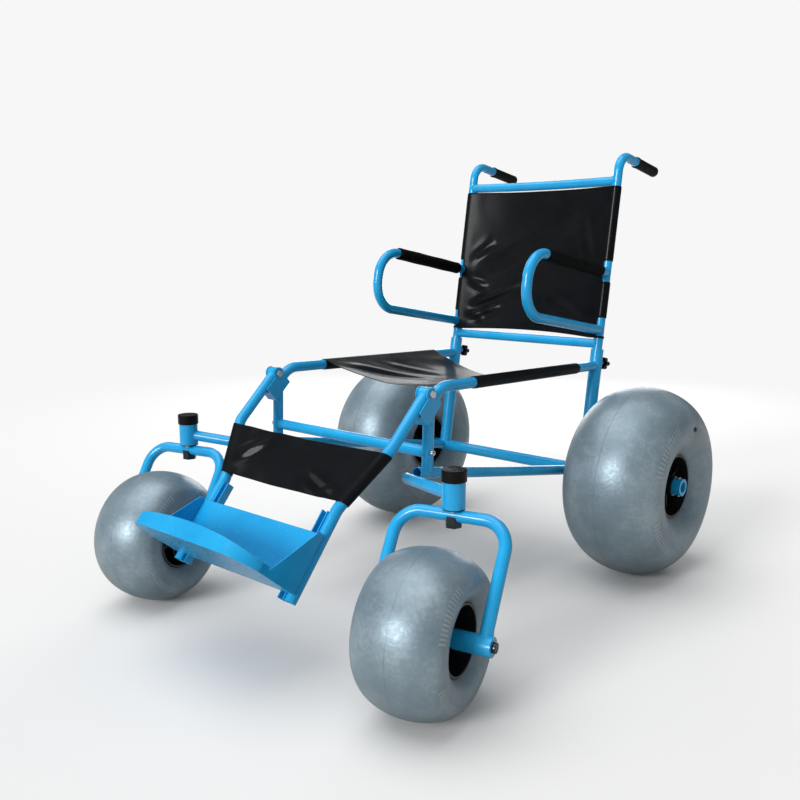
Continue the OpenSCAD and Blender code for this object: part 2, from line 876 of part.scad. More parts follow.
module foam(s) {
    front = arm_reach - arm_bend_r - side_play;
    color(BLACK) difference() {
        rod(back_at(s * half_w, -front, arm_up), back_at(s * half_w, -foam_bare, arm_up), foam_d);
        rod(back_at(s * half_w, -front - over, arm_up), back_at(s * half_w, 0, arm_up), tube_d);
    }
}
module foam_l() { foam(1); }
module foam_r() { foam(-1); }

module grip(s) {
    color(BLACK) difference() {
        rod(back_at(s * half_w, handle_reach + grip_end - grip_len, handle_up),
            back_at(s * half_w, handle_reach + grip_end, handle_up), grip_d);
        rod(back_at(s * half_w, 0, handle_up), back_at(s * half_w, handle_reach, handle_up), tube_d);
    }
}
module grip_l() { grip(1); }
module grip_r() { grip(-1); }

// Clamp knobs: a lobed head on a threaded stud

stud_tip = tube_r + side_play;
module knob(s) {
    lobe_r = knob_d * lobe_share;
    head_from = socket_rad + knob_boss_l + side_play;
    color(BLACK) on_back(s * half_w, knob_up) rotate([-90, 0, 0]) {
        translate([0, 0, stud_tip]) cylinder(d = stud_d, h = head_from + knob_neck_l - stud_tip);
        translate([0, 0, head_from]) cylinder(d = knob_boss_d, h = knob_neck_l);
        translate([0, 0, head_from + knob_neck_l]) linear_extrude(knob_l - knob_neck_l) {
            circle(r = knob_d / 2 - lobe_r);
            for (i = [0:lobes - 1])
                rotate(i * 360 / lobes) translate([knob_d / 2 - lobe_r, 0]) circle(r = lobe_r);
        }
    }
}
module knob_l() { knob(1); }
module knob_r() { knob(-1); }

// Casters, drawn round the stem with the wheel straight ahead, then swivelled

crown_h = head_h - flange_t - side_play - tube_r;

module caster(s) {
    at_stem(s, 0) rotate(caster_turn) children();
}

function fork_path() = [
    [fork_half, -trail, front_r],
    [fork_half, 0, crown_h],
    [-fork_half, 0, crown_h],
    [-fork_half, -trail, front_r]
];

front_face = front_half - tyre_dip(front_half, front_drum_r, front_r, front_round);
front_barrel = front_face * front_barrel_share;

module boss_core(s) {
    rod([s * (front_barrel + side_play), -trail, front_r], [s * boss_l, -trail, front_r], boss_d);
}

module fork(s) {
    color(BLUE) caster(s) difference() {
        union() {
            difference() {
                tube(fork_path(), fork_bend_r);
                for (side = sides)
                    boss_core(side);
            }
            for (side = sides)
                boss_core(side);
        }
        rod([-2 * boss_l, -trail, front_r], [2 * boss_l, -trail, front_r], bolt_d);
        cylinder(d = stem_d, h = head_h);
    }
}
module fork_l() { fork(1); }
module fork_r() { fork(-1); }

stem_low = crown_h - tube_r - flange_t - stem_nut_l;
stem_top = head_h + head_len + flange_t + side_play;
module stem(s) {
    color(STEEL) caster(s) {
        translate([0, 0, stem_low]) cylinder(d = stem_d, h = stem_top - stem_low);
        translate([0, 0, stem_top]) cylinder(d = stem_head_d, h = stem_head_l);
    }
}
module stem_l() { stem(1); }
module stem_r() { stem(-1); }

module crown_nut(s) {
    color(STEEL) caster(s) difference() {
        translate([0, 0, stem_low]) cylinder(d = nut_d, h = stem_nut_l + flange_t + tube_r, $fn = 6);
        cylinder(d = stem_d, h = head_h);
        bar(fork_path(), fork_bend_r, tube_d);
    }
}
module crown_nut_l() { crown_nut(1); }
module crown_nut_r() { crown_nut(-1); }

module front_axle(s) {
    color(STEEL) caster(s) {
        rod([-boss_l, -trail, front_r], [boss_l, -trail, front_r], bolt_d);
        for (side = sides)
            rod([side * boss_l, -trail, front_r], [side * (boss_l + axle_head_l), -trail, front_r],
                axle_head_d);
    }
}
module front_axle_l() { front_axle(1); }
module front_axle_r() { front_axle(-1); }

// Balloon wheels: a blown tyre on a ribbed drum hub

// How far the sidewall dips in at the hub drum, for shoulders of the given round
function tyre_dip(half, hub, r, round) = round - sqrt(round * round - pow(r - round - hub, 2));

// Half section in the plane of the axle, under a round crown: x from the axle, y along it
module tyre_section(r, half, round, inset) {
    intersection() {
        union() {
            for (s = sides)
                translate([r - round, s * (half - round)]) circle(r = round - inset);
            translate([r - 2 * round + inset, round - half])
                square([2 * (round - inset), 2 * (half - round)]);
        }
        circle(r = r - inset);
    }
}

module tyre(r, half, round, hub) {
    rotate([0, 90, 0]) rotate_extrude() difference() {
        tyre_section(r, half, round, 0);
        tyre_section(r, half, round, tyre_t);
        translate([-hub, -2 * half]) square([2 * hub, 4 * half]);
    }
}

module drum_hub(hub, face, barrel, bore) {
    barrel_d = bore + 2 * barrel_t;
    rotate([0, 90, 0]) difference() {
        union() {
            difference() {
                cylinder(r = hub, h = 2 * face, center = true);
                cylinder(r = hub - hub_t, h = 2 * face + 2 * over, center = true);
            }
            cylinder(r = hub - hub_t / 2, h = web_t, center = true);
            cylinder(d = barrel_d, h = 2 * barrel, center = true);
            for (i = [0:ribs - 1])
                rotate(i * 360 / ribs) translate([barrel_d / 2 - hub_t, -rib_t / 2, -barrel * rib_share])
                    cube([hub - barrel_d / 2 + hub_t / 2, rib_t, 2 * barrel * rib_share]);
        }
        cylinder(d = bore + 2 * run_fit, h = 4 * face, center = true);
    }
}

module at_rear(s) { translate(axle_at + [s * rear_x, 0, 0]) children(); }
module at_front(s) { caster(s) translate([0, -trail, front_r]) children(); }

module rear_tyre(s) { color(GREY) at_rear(s) tyre(rear_r, rear_half, rear_round, rear_drum_r); }
module rear_tyre_l() { rear_tyre(1); }
module rear_tyre_r() { rear_tyre(-1); }
module rear_hub(s) { color(BLACK) at_rear(s) drum_hub(rear_drum_r, rear_face, rear_barrel, axle_d); }
module rear_hub_l() { rear_hub(1); }
module rear_hub_r() { rear_hub(-1); }
module front_tyre(s) { color(GREY) at_front(s) tyre(front_r, front_half, front_round, front_drum_r); }
module front_tyre_l() { front_tyre(1); }
module front_tyre_r() { front_tyre(-1); }
module front_hub(s) { color(BLACK) at_front(s) drum_hub(front_drum_r, front_face, front_barrel, bolt_d); }
module front_hub_l() { front_hub(1); }
module front_hub_r() { front_hub(-1); }

// Leg rest: bent legs on the pivots, side channels, foot pan and calf strap

shin_up = [0, cos(shin_slope), sin(shin_slope)];
shin_back = [0, sin(shin_slope), -cos(shin_slope)];
function knee_at(s) = pivot_at + [s * half_w, 0, 0] + leg_dir * leg_upper;
function calf_at(s) = knee_at(s) - [s * leg_tuck, 0, 0] - shin_up * leg_inward;
function heel_at(s) = calf_at(s) - shin_up * shin_l;
function leg_path(s) = [pivot_at + [s * half_w, 0, 0], knee_at(s), calf_at(s), heel_at(s)];

module leg(s) {
    color(BLUE) difference() {
        union() {
            tube(leg_path(s), leg_bend_r, swell = bend_swell);
            leg_plane(s) cylinder(d = eye_d, h = eye_w, center = true);
        }
        leg_plane(s) cylinder(d = pivot_d + 2 * run_fit, h = 2 * tube_d, center = true);
    }
}
module leg_r() { leg(-1); }
module leg_l() { translate([2 * mid_x, 0, 0]) mirror([1, 0, 0]) leg_r(); }

// Foot pieces drawn at the heel: x out, y behind the legs, z up the legs
module at_heel() {
    laid((heel_at(1) + heel_at(-1)) / 2, [1, 0, 0], shin_back, shin_up) children();
}

channel_groove = channel_w - 2 * channel_t;

module channel(s) {
    color(BLUE) difference() {
        at_heel() linear_extrude(shin_l * channel_share) mirror([s < 0 ? 1 : 0, 0])
            translate([leg_x - tube_r + weld_bite - channel_w, -channel_deep / 2]) difference() {
                square([channel_w, channel_deep]);
                translate([channel_t, -over]) square([channel_groove, channel_deep - channel_t + over]);
            }
        bar(leg_path(s), leg_bend_r, tube_d, bend_swell);
    }
}
module channel_l() { channel(1); }
module channel_r() { channel(-1); }

sole_half = leg_x + tube_r;
sole_side = sole_l - toe_r;
pan_front = tube_r - weld_bite;

// The sole seen square on, toe towards +y
module sole_outline(inset) {
    difference() {
        translate([inset - sole_half, inset > 0 ? -over : 0])
            square([2 * (sole_half - inset), sole_l - inset + (inset > 0 ? over : 0)]);
        for (s = sides)
            translate([s * (sole_half - toe_r), sole_side]) difference() {
                translate([s > 0 ? 0 : -toe_r - over, 0]) square(toe_r + over);
                circle(r = toe_r * corner_share - inset);
            }
    }
}

// Sole frame: x out, y towards the toe, z up the legs
module on_sole() {
    at_heel() translate([0, -pan_front, heel_past]) mirror([0, 1, 0]) children();
}

// Lip round the toe, arched along its top
module toe_lip() {
    r = arc_radius(2 * sole_half, lip_h - lip_end_h);
    intersection() {
        linear_extrude(lip_h) difference() {
            sole_outline(0);
            sole_outline(sheet_t);
        }
        translate([0, sole_side, lip_h - r]) rotate([-90, 0, 0])
            cylinder(r = r, h = toe_r + over, $fn = bow_steps);
    }
}

// Steps in the sides of the sole, where the gussets stand
module gusset_steps() {
    for (s = sides)
        translate([s > 0 ? sole_half - sheet_t : -sole_half - over, sheet_t])
            square([sheet_t + over, sole_side - sheet_t]);
}

module foot_pan() {
    color(BLUE) difference() {
        on_sole() {
            linear_extrude(sheet_t) difference() {
                sole_outline(0);
                gusset_steps();
            }
            toe_lip();
            translate([-sole_half, 0, 0]) cube([2 * sole_half, sheet_t, heel_h]);
        }
        for (s = sides)
            bar(leg_path(s), leg_bend_r, tube_d, bend_swell);
    }
}

module gussets() {
    color(BLUE) on_sole() for (s = sides)
        translate([s * (sole_half - sheet_t / 2), 0, 0]) rotate([90, 0, 90])
            linear_extrude(sheet_t, center = true) polygon([
                [sheet_t, 0],
                [sole_side, 0],
                [sole_side, gusset_tip],
                [sheet_t + gusset_top, heel_h],
                [sheet_t, heel_h]
            ]);
}

// Strap frame: x out, y up from the strap, z down along it
module calf_strap() {
    mid = (knee_at(1) + knee_at(-1)) / 2;
    slant = atan(leg_tuck / leg_inward);
    stations = [for (k = [0:strap_steps])
        let (share = strap_from_share + (strap_to_share - strap_from_share) * k / strap_steps)
        [leg_inward * share, half_w - leg_tuck * share, strap_sag]];
    color(BLACK) laid(mid, [1, 0, 0], -shin_back, -shin_up)
        cover(stations, strap_crease_shares, stretch = 1 / cos(slant));
}

// Drawing

axle_tube();
axle_stops();
axle_collars();
cotter_pins();
rail_l();
rail_r();
side_l();
side_r();
cross_tube();
cross_bolts();
outrigger_l();
outrigger_r();
head_l();
head_r();
head_bushes();
head_caps();
socket_l();
socket_r();
liners();
bracket_l();
bracket_r();
pivot_bolts();
seat_sling();
post_l();
post_r();
top_bar();
low_bar();
arm_l();
arm_r();
foam_l();
foam_r();
grip_l();
grip_r();
back_sling();
back_hems();
knob_l();
knob_r();
fork_l();
fork_r();
stem_l();
stem_r();
crown_nut_l();
crown_nut_r();
front_axle_l();
front_axle_r();
front_tyre_l();
front_tyre_r();
front_hub_l();
front_hub_r();
rear_tyre_l();
rear_tyre_r();
rear_hub_l();
rear_hub_r();
leg_l();
leg_r();
channel_l();
channel_r();
foot_pan();
gussets();
calf_strap();
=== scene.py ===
# %% [markdown]
# # Dressing a beach wheelchair
# The chair arrives as a frame of exact solids: every tube, bolt, wheel and cover is already in
# place, in metres, and already grouped into the bodies that move. This lesson gives each of them
# its look. Rigid pieces that are right keep their solid and get a finish; balloon tyres, cloth,
# foam, grips and small hardware are modelled again with more form than the solids have.

# %% Load the frame
import json
import math

import bmesh
import bpy
from mathutils import Matrix, Vector, noise


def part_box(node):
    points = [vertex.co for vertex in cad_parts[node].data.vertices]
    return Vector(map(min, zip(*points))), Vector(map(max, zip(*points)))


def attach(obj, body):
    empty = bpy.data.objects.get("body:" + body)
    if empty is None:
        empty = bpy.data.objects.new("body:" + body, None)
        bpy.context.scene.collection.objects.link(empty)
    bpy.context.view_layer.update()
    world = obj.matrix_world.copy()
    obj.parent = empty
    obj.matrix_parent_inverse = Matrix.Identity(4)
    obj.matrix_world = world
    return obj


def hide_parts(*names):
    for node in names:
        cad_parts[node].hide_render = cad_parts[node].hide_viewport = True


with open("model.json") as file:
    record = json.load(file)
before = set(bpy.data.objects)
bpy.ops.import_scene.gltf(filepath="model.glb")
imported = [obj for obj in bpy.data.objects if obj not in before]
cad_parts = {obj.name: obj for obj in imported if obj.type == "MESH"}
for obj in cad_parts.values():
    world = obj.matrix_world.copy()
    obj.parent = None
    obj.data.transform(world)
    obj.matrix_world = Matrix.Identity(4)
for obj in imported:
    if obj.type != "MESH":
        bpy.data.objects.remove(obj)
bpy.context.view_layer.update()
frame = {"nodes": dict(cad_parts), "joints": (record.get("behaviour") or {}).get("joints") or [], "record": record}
nodes = frame["nodes"]
joints = {joint["name"]: joint for joint in frame["joints"]}
SIDES = {"l": 1, "r": -1}


def rounded(values):
    return [round(value, 3) for value in values]

print("solids:", len(nodes), "joints:", len(joints))

# %% [markdown]
# ## Helpers for finishes
# A finish is a material: a few texture nodes in front of one Principled shader. They could be
# wired by hand in the shader editor; short calls do the same and can be read from top to bottom.
# A signal is a node together with one of its outputs, so that each call can hand it to the next.
# Values that are the same all over a surface are typed straight into the shader.

# %% Nodes and wires
def new_finish(name, roughness, metallic=0.0, specular=0.5, coat=0.0, coat_roughness=0.1):
    finish = bpy.data.materials.new(name)
    finish.use_nodes = True
    shader = finish.node_tree.nodes["Principled BSDF"]
    shader.inputs["Roughness"].default_value = roughness
    shader.inputs["Metallic"].default_value = metallic
    shader.inputs["Specular IOR Level"].default_value = specular
    shader.inputs["Coat Weight"].default_value = coat
    shader.inputs["Coat Roughness"].default_value = coat_roughness
    return finish, finish.node_tree, shader


def add(tree, kind, **inputs):
    made = tree.nodes.new("ShaderNode" + kind)
    for label, value in inputs.items():
        socket = label.replace("_", " ")
        if socket in made.inputs:
            made.inputs[socket].default_value = value
        else:
            setattr(made, label, value)
    return made


def wire(tree, signal, target, socket):
    source, output = signal
    tree.links.new(source.outputs[output], target.inputs[socket])

print("node helpers ready")

# %% [markdown]
# Most finishes need the same few signals: the place on the object, a cloud of noise, a ramp that
# turns a number into a colour or a grey, and a bump. Nearly all of a noise lies between 0.3 and
# 0.7, so that is where most ramps have their two ends.

# %% Noise, ramps and bumps
NOISE_ROUGHNESS = 0.6
LOW, HIGH = 0.3, 0.7


def object_place(tree):
    return add(tree, "TexCoord"), "Object"


def noise_on(tree, place, scale, detail=4.0):
    made = add(tree, "TexNoise", Scale=scale, Detail=detail, Roughness=NOISE_ROUGHNESS)
    wire(tree, place, made, "Vector")
    return made, "Fac"


def cells_on(tree, place, scale):
    made = add(tree, "TexVoronoi", Scale=scale)
    wire(tree, place, made, "Vector")
    return made, "Distance"


def grey(value):
    return (value, value, value)


def ramp_of(tree, signal, *stops):
    made = add(tree, "ValToRGB")
    elements = made.color_ramp.elements
    while len(elements) < len(stops):
        elements.new(0.5)
    for element, (place, colour) in zip(elements, stops):
        element.position = place
        element.color = (*colour, 1.0)
    wire(tree, signal, made, "Fac")
    return made, "Color"


def bump_on(tree, signal, height, below=None):
    made = add(tree, "Bump", Strength=1.0, Distance=height)
    wire(tree, signal, made, "Height")
    if below:
        wire(tree, below, made, "Normal")
    return made, "Normal"

print("texture helpers ready")

# %% [markdown]
# ## Powder coat
# The tubes are sprayed with a bright blue powder that melts into a glossy skin. Under a strong
# light it shows a faint orange peel, the blue is a little deeper where the coat is thick, and fine
# dust dulls the gloss here and there. One flat blue would look like toy plastic, so three sizes of
# noise do one of these jobs each. All of them follow the object's own coordinates, so a tube keeps
# its marks when it moves.

# %% Blue powder coat
DEEP_BLUE, LIGHT_BLUE = (0.008, 0.318, 0.66), (0.016, 0.385, 0.74)
COAT_CLOUD, COAT_DUST, COAT_PEEL = 9.0, 60.0, 420.0
PEEL_HEIGHT = 0.000015


def blue_powder_coat():
    finish, tree, shader = new_finish("blue_powder_coat", 0.3, specular=0.35,
                                      coat=0.3, coat_roughness=0.14)
    place = object_place(tree)
    depth = noise_on(tree, place, COAT_CLOUD)
    blue = ramp_of(tree, depth, (LOW, DEEP_BLUE), (HIGH, LIGHT_BLUE))
    wire(tree, blue, shader, "Base Color")
    dust = noise_on(tree, place, COAT_DUST, detail=8.0)
    dull = ramp_of(tree, dust, (0.45, grey(0.22)), (0.8, grey(0.32)))
    wire(tree, dull, shader, "Roughness")
    peel = noise_on(tree, place, COAT_PEEL, detail=2.0)
    wire(tree, bump_on(tree, peel, PEEL_HEIGHT), shader, "Normal")
    return finish

BLUE = blue_powder_coat()
print("made", BLUE.name)

# %% [markdown]
# ## Plated steel
# Bolts, stems and split pins are bright zinc; the axle bolts and crown nuts of the casters are oiled
# black. Plating is never a perfect mirror. Scratches could be drawn one by one, but a noise that is
# squeezed along one axis gives the same faint streaks that break the reflections.

# %% Bright and black steel
STREAKS = (40.0, 40.0, 320.0)
STREAK_HEIGHT = 0.000002


def plated_steel(name, tone):
    finish, tree, shader = new_finish(name, 0.25, metallic=1.0)
    shader.inputs["Base Color"].default_value = (*tone, 1.0)
    squeezed = add(tree, "Mapping", Scale=STREAKS)
    wire(tree, object_place(tree), squeezed, "Vector")
    streaks = add(tree, "TexNoise", Scale=1.0, Detail=3.0)
    wire(tree, (squeezed, "Vector"), streaks, "Vector")
    sheen = ramp_of(tree, (streaks, "Fac"), (LOW, grey(0.25)), (HIGH, grey(0.31)))
    wire(tree, sheen, shader, "Roughness")
    wire(tree, bump_on(tree, (streaks, "Fac"), STREAK_HEIGHT), shader, "Normal")
    return finish

STEEL = plated_steel("bright_steel", (0.68, 0.69, 0.71))
BLACK_STEEL = plated_steel("black_steel", (0.055, 0.06, 0.07))
print("made", STEEL.name, BLACK_STEEL.name)

# %% [markdown]
# ## Black plastic, rubber and foam
# Four blacks that must not look the same: the hubs are moulded with a fine spark texture and some
# shine, the caps and knobs are deeper and calmer, the grips are softer and duller, and the arm foam
# is full of closed cells. Four separate materials would repeat the same nodes, so one function
# makes them all from a tone, a roughness, a shine and the size and height of the surface grain.

# %% Moulded blacks
BLACK_CLOUD = 30.0
DARK_SHARE, PALE_SHARE = 0.7, 1.4
LESS_MATT, MORE_MATT = 0.06, 0.08


def moulded_black(name, tone, roughness, specular, grain, height):
    finish, tree, shader = new_finish(name, roughness, specular=specular)
    place = object_place(tree)
    cloud = noise_on(tree, place, BLACK_CLOUD)
    shade = ramp_of(tree, cloud, (LOW, grey(tone * DARK_SHARE)), (HIGH, grey(tone * PALE_SHARE)))
    wire(tree, shade, shader, "Base Color")
    matt = ramp_of(tree, cloud, (LOW, grey(roughness - LESS_MATT)), (HIGH, grey(roughness + MORE_MATT)))
    wire(tree, matt, shader, "Roughness")
    wire(tree, bump_on(tree, cells_on(tree, place, grain), height), shader, "Normal")
    return finish

HUB_PLASTIC = moulded_black("hub_plastic", 0.011, 0.3, 0.55, 900.0, 0.00005)
CAP_PLASTIC = moulded_black("cap_plastic", 0.004, 0.3, 0.14, 900.0, 0.00005)
GRIP_RUBBER = moulded_black("grip_rubber", 0.007, 0.55, 0.12, 700.0, 0.00012)
ARM_FOAM = moulded_black("arm_foam", 0.006, 0.8, 0.06, 520.0, 0.0003)
print("made", HUB_PLASTIC.name, CAP_PLASTIC.name, GRIP_RUBBER.name, ARM_FOAM.name)

# %% [markdown]
# ## Marks that follow a surface
# Seams, ribs and stitches run along a piece and not through space, so they read the piece's own UV
# map. Math nodes cut them out: a band is where a value lies close to a middle, and stripes are the
# same band in every repeat of a value. A painted picture would do it too, but it would lose its
# sharpness close up.

# %% Bands and stripes
def maths(tree, operation, *terms):
    made = add(tree, "Math", operation=operation)
    for slot, term in enumerate(terms):
        if isinstance(term, tuple):
            wire(tree, term, made, slot)
        else:
            made.inputs[slot].default_value = term
    return made, 0


def uv_axes(tree):
    parts = add(tree, "SeparateXYZ")
    wire(tree, (add(tree, "TexCoord"), "UV"), parts, "Vector")
    return (parts, "X"), (parts, "Y")


def band(tree, value, middle, half):
    return maths(tree, "COMPARE", value, middle, half)


def stripes(tree, value, repeats, half):
    part = maths(tree, "FRACT", maths(tree, "MULTIPLY", value, repeats))
    return band(tree, part, 0.5, half)


def weighed(tree, first, first_share, second, second_share):
    return maths(tree, "ADD", maths(tree, "MULTIPLY", first, first_share),
                 maths(tree, "MULTIPLY", second, second_share))

print("mark helpers ready")

# %% [markdown]
# ## Balloon skin
# The tyres are soft blown skins of grey plastic with a silvery satin. Three things make the look:
# a slow mottle of lighter and darker grey, a fine powdery dust that catches the light, and the
# moulding marks, a seam round the crown and small radial ribs by the hub. On the UV map of a tyre
# U runs once round the wheel and V across it, with the crown at a half. The ribs stand in a ring on
# both sides of the crown, in four patches.

# %% Balloon skin
SKIN_TONES = [
    (0.34, (0.172, 0.238, 0.284)),
    (0.52, (0.234, 0.310, 0.358)),
    (0.70, (0.362, 0.434, 0.482)),
]
MOTTLE, MOTTLE_SHARE = 11.0, 0.7
POWDER, POWDER_SHARE = 130.0, 0.3
SEAM_TONE, RIB_TONE = -0.1, 0.2
CROWN_V, SEAM_HALF = 0.5, 0.0022
RIB_RING, RIB_LONG = 0.226, 0.013
RIBS_ROUND, RIB_HALF = 96.0, 0.22
RIB_PATCHES, PATCH_HALF = 4.0, 0.28
POWDER_HEIGHT, WRINKLE_HEIGHT, MARK_HEIGHT = 0.0005, 0.0006, 0.0012


def rib_marks(tree, around, across):
    beside = maths(tree, "ABSOLUTE", maths(tree, "SUBTRACT", across, CROWN_V))
    ring = band(tree, beside, RIB_RING, RIB_LONG)
    thin = stripes(tree, around, RIBS_ROUND, RIB_HALF)
    patch = stripes(tree, around, RIB_PATCHES, PATCH_HALF)
    return maths(tree, "MULTIPLY", maths(tree, "MULTIPLY", ring, thin), patch)


def balloon_skin():
    finish, tree, shader = new_finish("balloon_skin", 0.45, metallic=0.4,
                                      coat=0.15, coat_roughness=0.3)
    place = object_place(tree)
    around, across = uv_axes(tree)
    mottle = noise_on(tree, place, MOTTLE, detail=7.0)
    dust = noise_on(tree, place, POWDER, detail=9.0)
    seam = band(tree, across, CROWN_V, SEAM_HALF)
    ribs = rib_marks(tree, around, across)
    cloudy = weighed(tree, mottle, MOTTLE_SHARE, dust, POWDER_SHARE)
    marked = weighed(tree, seam, SEAM_TONE, ribs, RIB_TONE)
    skin = ramp_of(tree, maths(tree, "ADD", cloudy, marked), *SKIN_TONES)
    wire(tree, skin, shader, "Base Color")
    satin = ramp_of(tree, dust, (0.35, grey(0.35)), (0.7, grey(0.52)))
    wire(tree, satin, shader, "Roughness")
    relief = bump_on(tree, dust, POWDER_HEIGHT)
    relief = bump_on(tree, mottle, WRINKLE_HEIGHT, relief)
    relief = bump_on(tree, seam, MARK_HEIGHT, relief)
    relief = bump_on(tree, ribs, MARK_HEIGHT, relief)
    wire(tree, relief, shader, "Normal")
    return finish

SKIN = balloon_skin()
print("made", SKIN.name)

# %% [markdown]
# ## Coated cloth
# Seat, back and calf strap are black coated cloth: a woven core under a glossy film. Seen close,
# the film has a fine pebble grain and a soft rumple, and the sewn hems show a row of stitches
# beside each sleeve. Modelled stitches would be thousands of faces; as a bump they cost nothing.
# They read the UV map of each cover, where U is the distance in metres inwards from the sleeve and
# V the distance along it.

# %% Coated cloth
DEEP_BLACK, WORN_BLACK = (0.002, 0.0027, 0.0035), (0.005, 0.006, 0.0075)
CLOTH_CLOUD, PEBBLES, RUMPLE = 14.0, 650.0, 36.0
PEBBLE_HEIGHT, RUMPLE_HEIGHT, STITCH_HEIGHT = 0.00008, 0.0005, 0.0006
STITCH_IN, STITCH_ROW_HALF = 0.011, 0.0009
STITCH_LONG, THREAD_HALF = 0.006, 0.36


def coated_cloth():
    finish, tree, shader = new_finish("coated_cloth", 0.5, specular=0.05,
                                      coat=0.18, coat_roughness=0.16)
    place = object_place(tree)
    inwards, along = uv_axes(tree)
    cloud = noise_on(tree, place, CLOTH_CLOUD, detail=6.0)
    black = ramp_of(tree, cloud, (LOW, DEEP_BLACK), (HIGH, WORN_BLACK))
    wire(tree, black, shader, "Base Color")
    film = ramp_of(tree, cloud, (LOW, grey(0.42)), (HIGH, grey(0.58)))
    wire(tree, film, shader, "Roughness")
    row = band(tree, inwards, STITCH_IN, STITCH_ROW_HALF)
    thread = stripes(tree, along, 1.0 / STITCH_LONG, THREAD_HALF)
    relief = bump_on(tree, cells_on(tree, place, PEBBLES), PEBBLE_HEIGHT)
    relief = bump_on(tree, noise_on(tree, place, RUMPLE, detail=3.0), RUMPLE_HEIGHT, relief)
    relief = bump_on(tree, maths(tree, "MULTIPLY", row, thread), STITCH_HEIGHT, relief)
    wire(tree, relief, shader, "Normal")
    return finish

CLOTH = coated_cloth()
print("made", CLOTH.name)

# %% [markdown]
# ## Finishes on the solids
# Every solid first gets the finish of its material slot in the record, so nothing is left grey.
# The bent tubes are already the right shape and only need this. The pieces that are modelled again
# below will hide their solids.

# %% Finish every solid
FINISH_OF_SLOT = {
    "blue_powder_coat": BLUE,
    "bright_steel": STEEL,
    "black_plastic": HUB_PLASTIC,
    "black_cover": CLOTH,
    "black_foam": ARM_FOAM,
    "black_grip": GRIP_RUBBER,
    "grey_tyre": SKIN,
}
for part in frame["record"]["subparts"]:
    solid = nodes[part["node"]].data
    solid.materials.clear()
    solid.materials.append(FINISH_OF_SLOT[part["material_slot"]])
print("finished", len(nodes), "solids")

# %% [markdown]
# ## From a bmesh to a piece
# New pieces all end the same way: doubled points are merged, the faces are turned outwards, and the
# bmesh becomes a mesh in the object's own frame, shaded smooth. The piece then rides on a body of
# the chair and hides the solids it stands for. Doing this in one place keeps every piece at the
# origin, where the export expects it.

# %% Helpers for new pieces
MERGE = 1e-6


def new_piece(name, mesh, finish, body, stands_for=()):
    bmesh.ops.remove_doubles(mesh, verts=mesh.verts, dist=MERGE)
    bmesh.ops.recalc_face_normals(mesh, faces=mesh.faces)
    data = bpy.data.meshes.new(name)
    mesh.to_mesh(data)
    mesh.free()
    data.materials.append(finish)
    for face in data.polygons:
        face.use_smooth = True
    piece = bpy.data.objects.new(name, data)
    bpy.context.scene.collection.objects.link(piece)
    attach(piece, body)
    if stands_for:
        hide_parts(*stands_for)
    return piece


def smooth_once(piece):
    made = piece.modifiers.new("round", "SUBSURF")
    made.levels = 1
    made.render_levels = 1
    return piece


def columns(origin, x, y, z):
    turn = Matrix((x, y, z)).transposed().to_4x4()
    return Matrix.Translation(origin) @ turn


def axis_frame(centre, axis, up=Vector((0, 0, 1))):
    x = Vector(axis).normalized()
    y = up.cross(x).normalized()
    return columns(centre, x, y, x.cross(y))


def spin_round(mesh, verts, steps):
    edges = list(dict.fromkeys(edge for vert in verts for edge in vert.link_edges))
    bmesh.ops.spin(mesh, geom=list(verts) + edges, cent=(0, 0, 0), axis=(1, 0, 0),
                   angle=2 * math.pi, steps=steps, use_merge=True)

print("piece helpers ready")

# %% [markdown]
# ## Balloon tyres
# A balloon tyre is a fat ring with a round crown and side walls that dip in to the hub. A stretched
# torus would be round on the inside too, so the section is shaped first. A bmesh circle starts it:
# its upper half is widened into half an ellipse, which is the crown, its lower half is pulled apart
# into the two side walls, and whatever would reach inside the hub is held at the hub's radius.
# Spinning it round the axle makes the ring. A tyre is given by its radius, half the width and half
# the height of its section, and the radius of its hub. The UV map is written before the wheel is
# moved into place, while the axle is still the X axis.

# %% Section and map of a tyre
TYRES = {
    "rear": {"r": 0.245, "half_wide": 0.130, "half_tall": 0.094875, "hub": 0.080},
    "front": {"r": 0.155, "half_wide": 0.092, "half_tall": 0.04796, "hub": 0.067},
}
SECTION_POINTS, TYRE_STEPS = 72, 128


def tyre_section(mesh, shape):
    wide, tall = shape["half_wide"], shape["half_tall"]
    ring = bmesh.ops.create_circle(mesh, segments=SECTION_POINTS, radius=tall)["verts"]
    for vert in ring:
        across, out = vert.co.x, vert.co.y
        if out > 0.0:
            across *= wide / tall
        elif abs(across) > MERGE:
            across += math.copysign(wide - tall, across)
        vert.co = (across, 0.0, max(out + shape["r"] - tall, shape["hub"]))
    return ring


def write_tyre_uv(mesh, shape):
    uv = mesh.loops.layers.uv.new("around_and_across")
    whole = 2 * math.pi
    middle = shape["r"] - shape["half_tall"]
    for face in mesh.faces:
        centre = face.calc_center_median()
        about = math.atan2(centre.y, centre.z)
        for loop in face.loops:
            co = loop.vert.co
            angle = math.atan2(co.y, co.z)
            angle += whole * round((about - angle) / whole)
            out = math.hypot(co.y, co.z) - middle
            loop[uv].uv = (angle / whole, CROWN_V + math.atan2(co.x, out) / whole)

print("tyres to make:", len(TYRES) * len(SIDES))

# %% [markdown]
# Each balloon is filled through a plug on its outer wall, and the plug sits in a dimple. The dimple
# has to be pressed into the skin before the wheel is placed. Its place is worked out on the section:
# the distance of the plug from the axle gives the point on the wall and the way the wall faces.

# %% Tyres with their valve dimples
VALVES = {"rear": (0.150, math.radians(-14.0)), "front": (0.092, math.radians(-125.0))}
DIMPLE_R, DIMPLE_DEEP = 0.024, 0.003


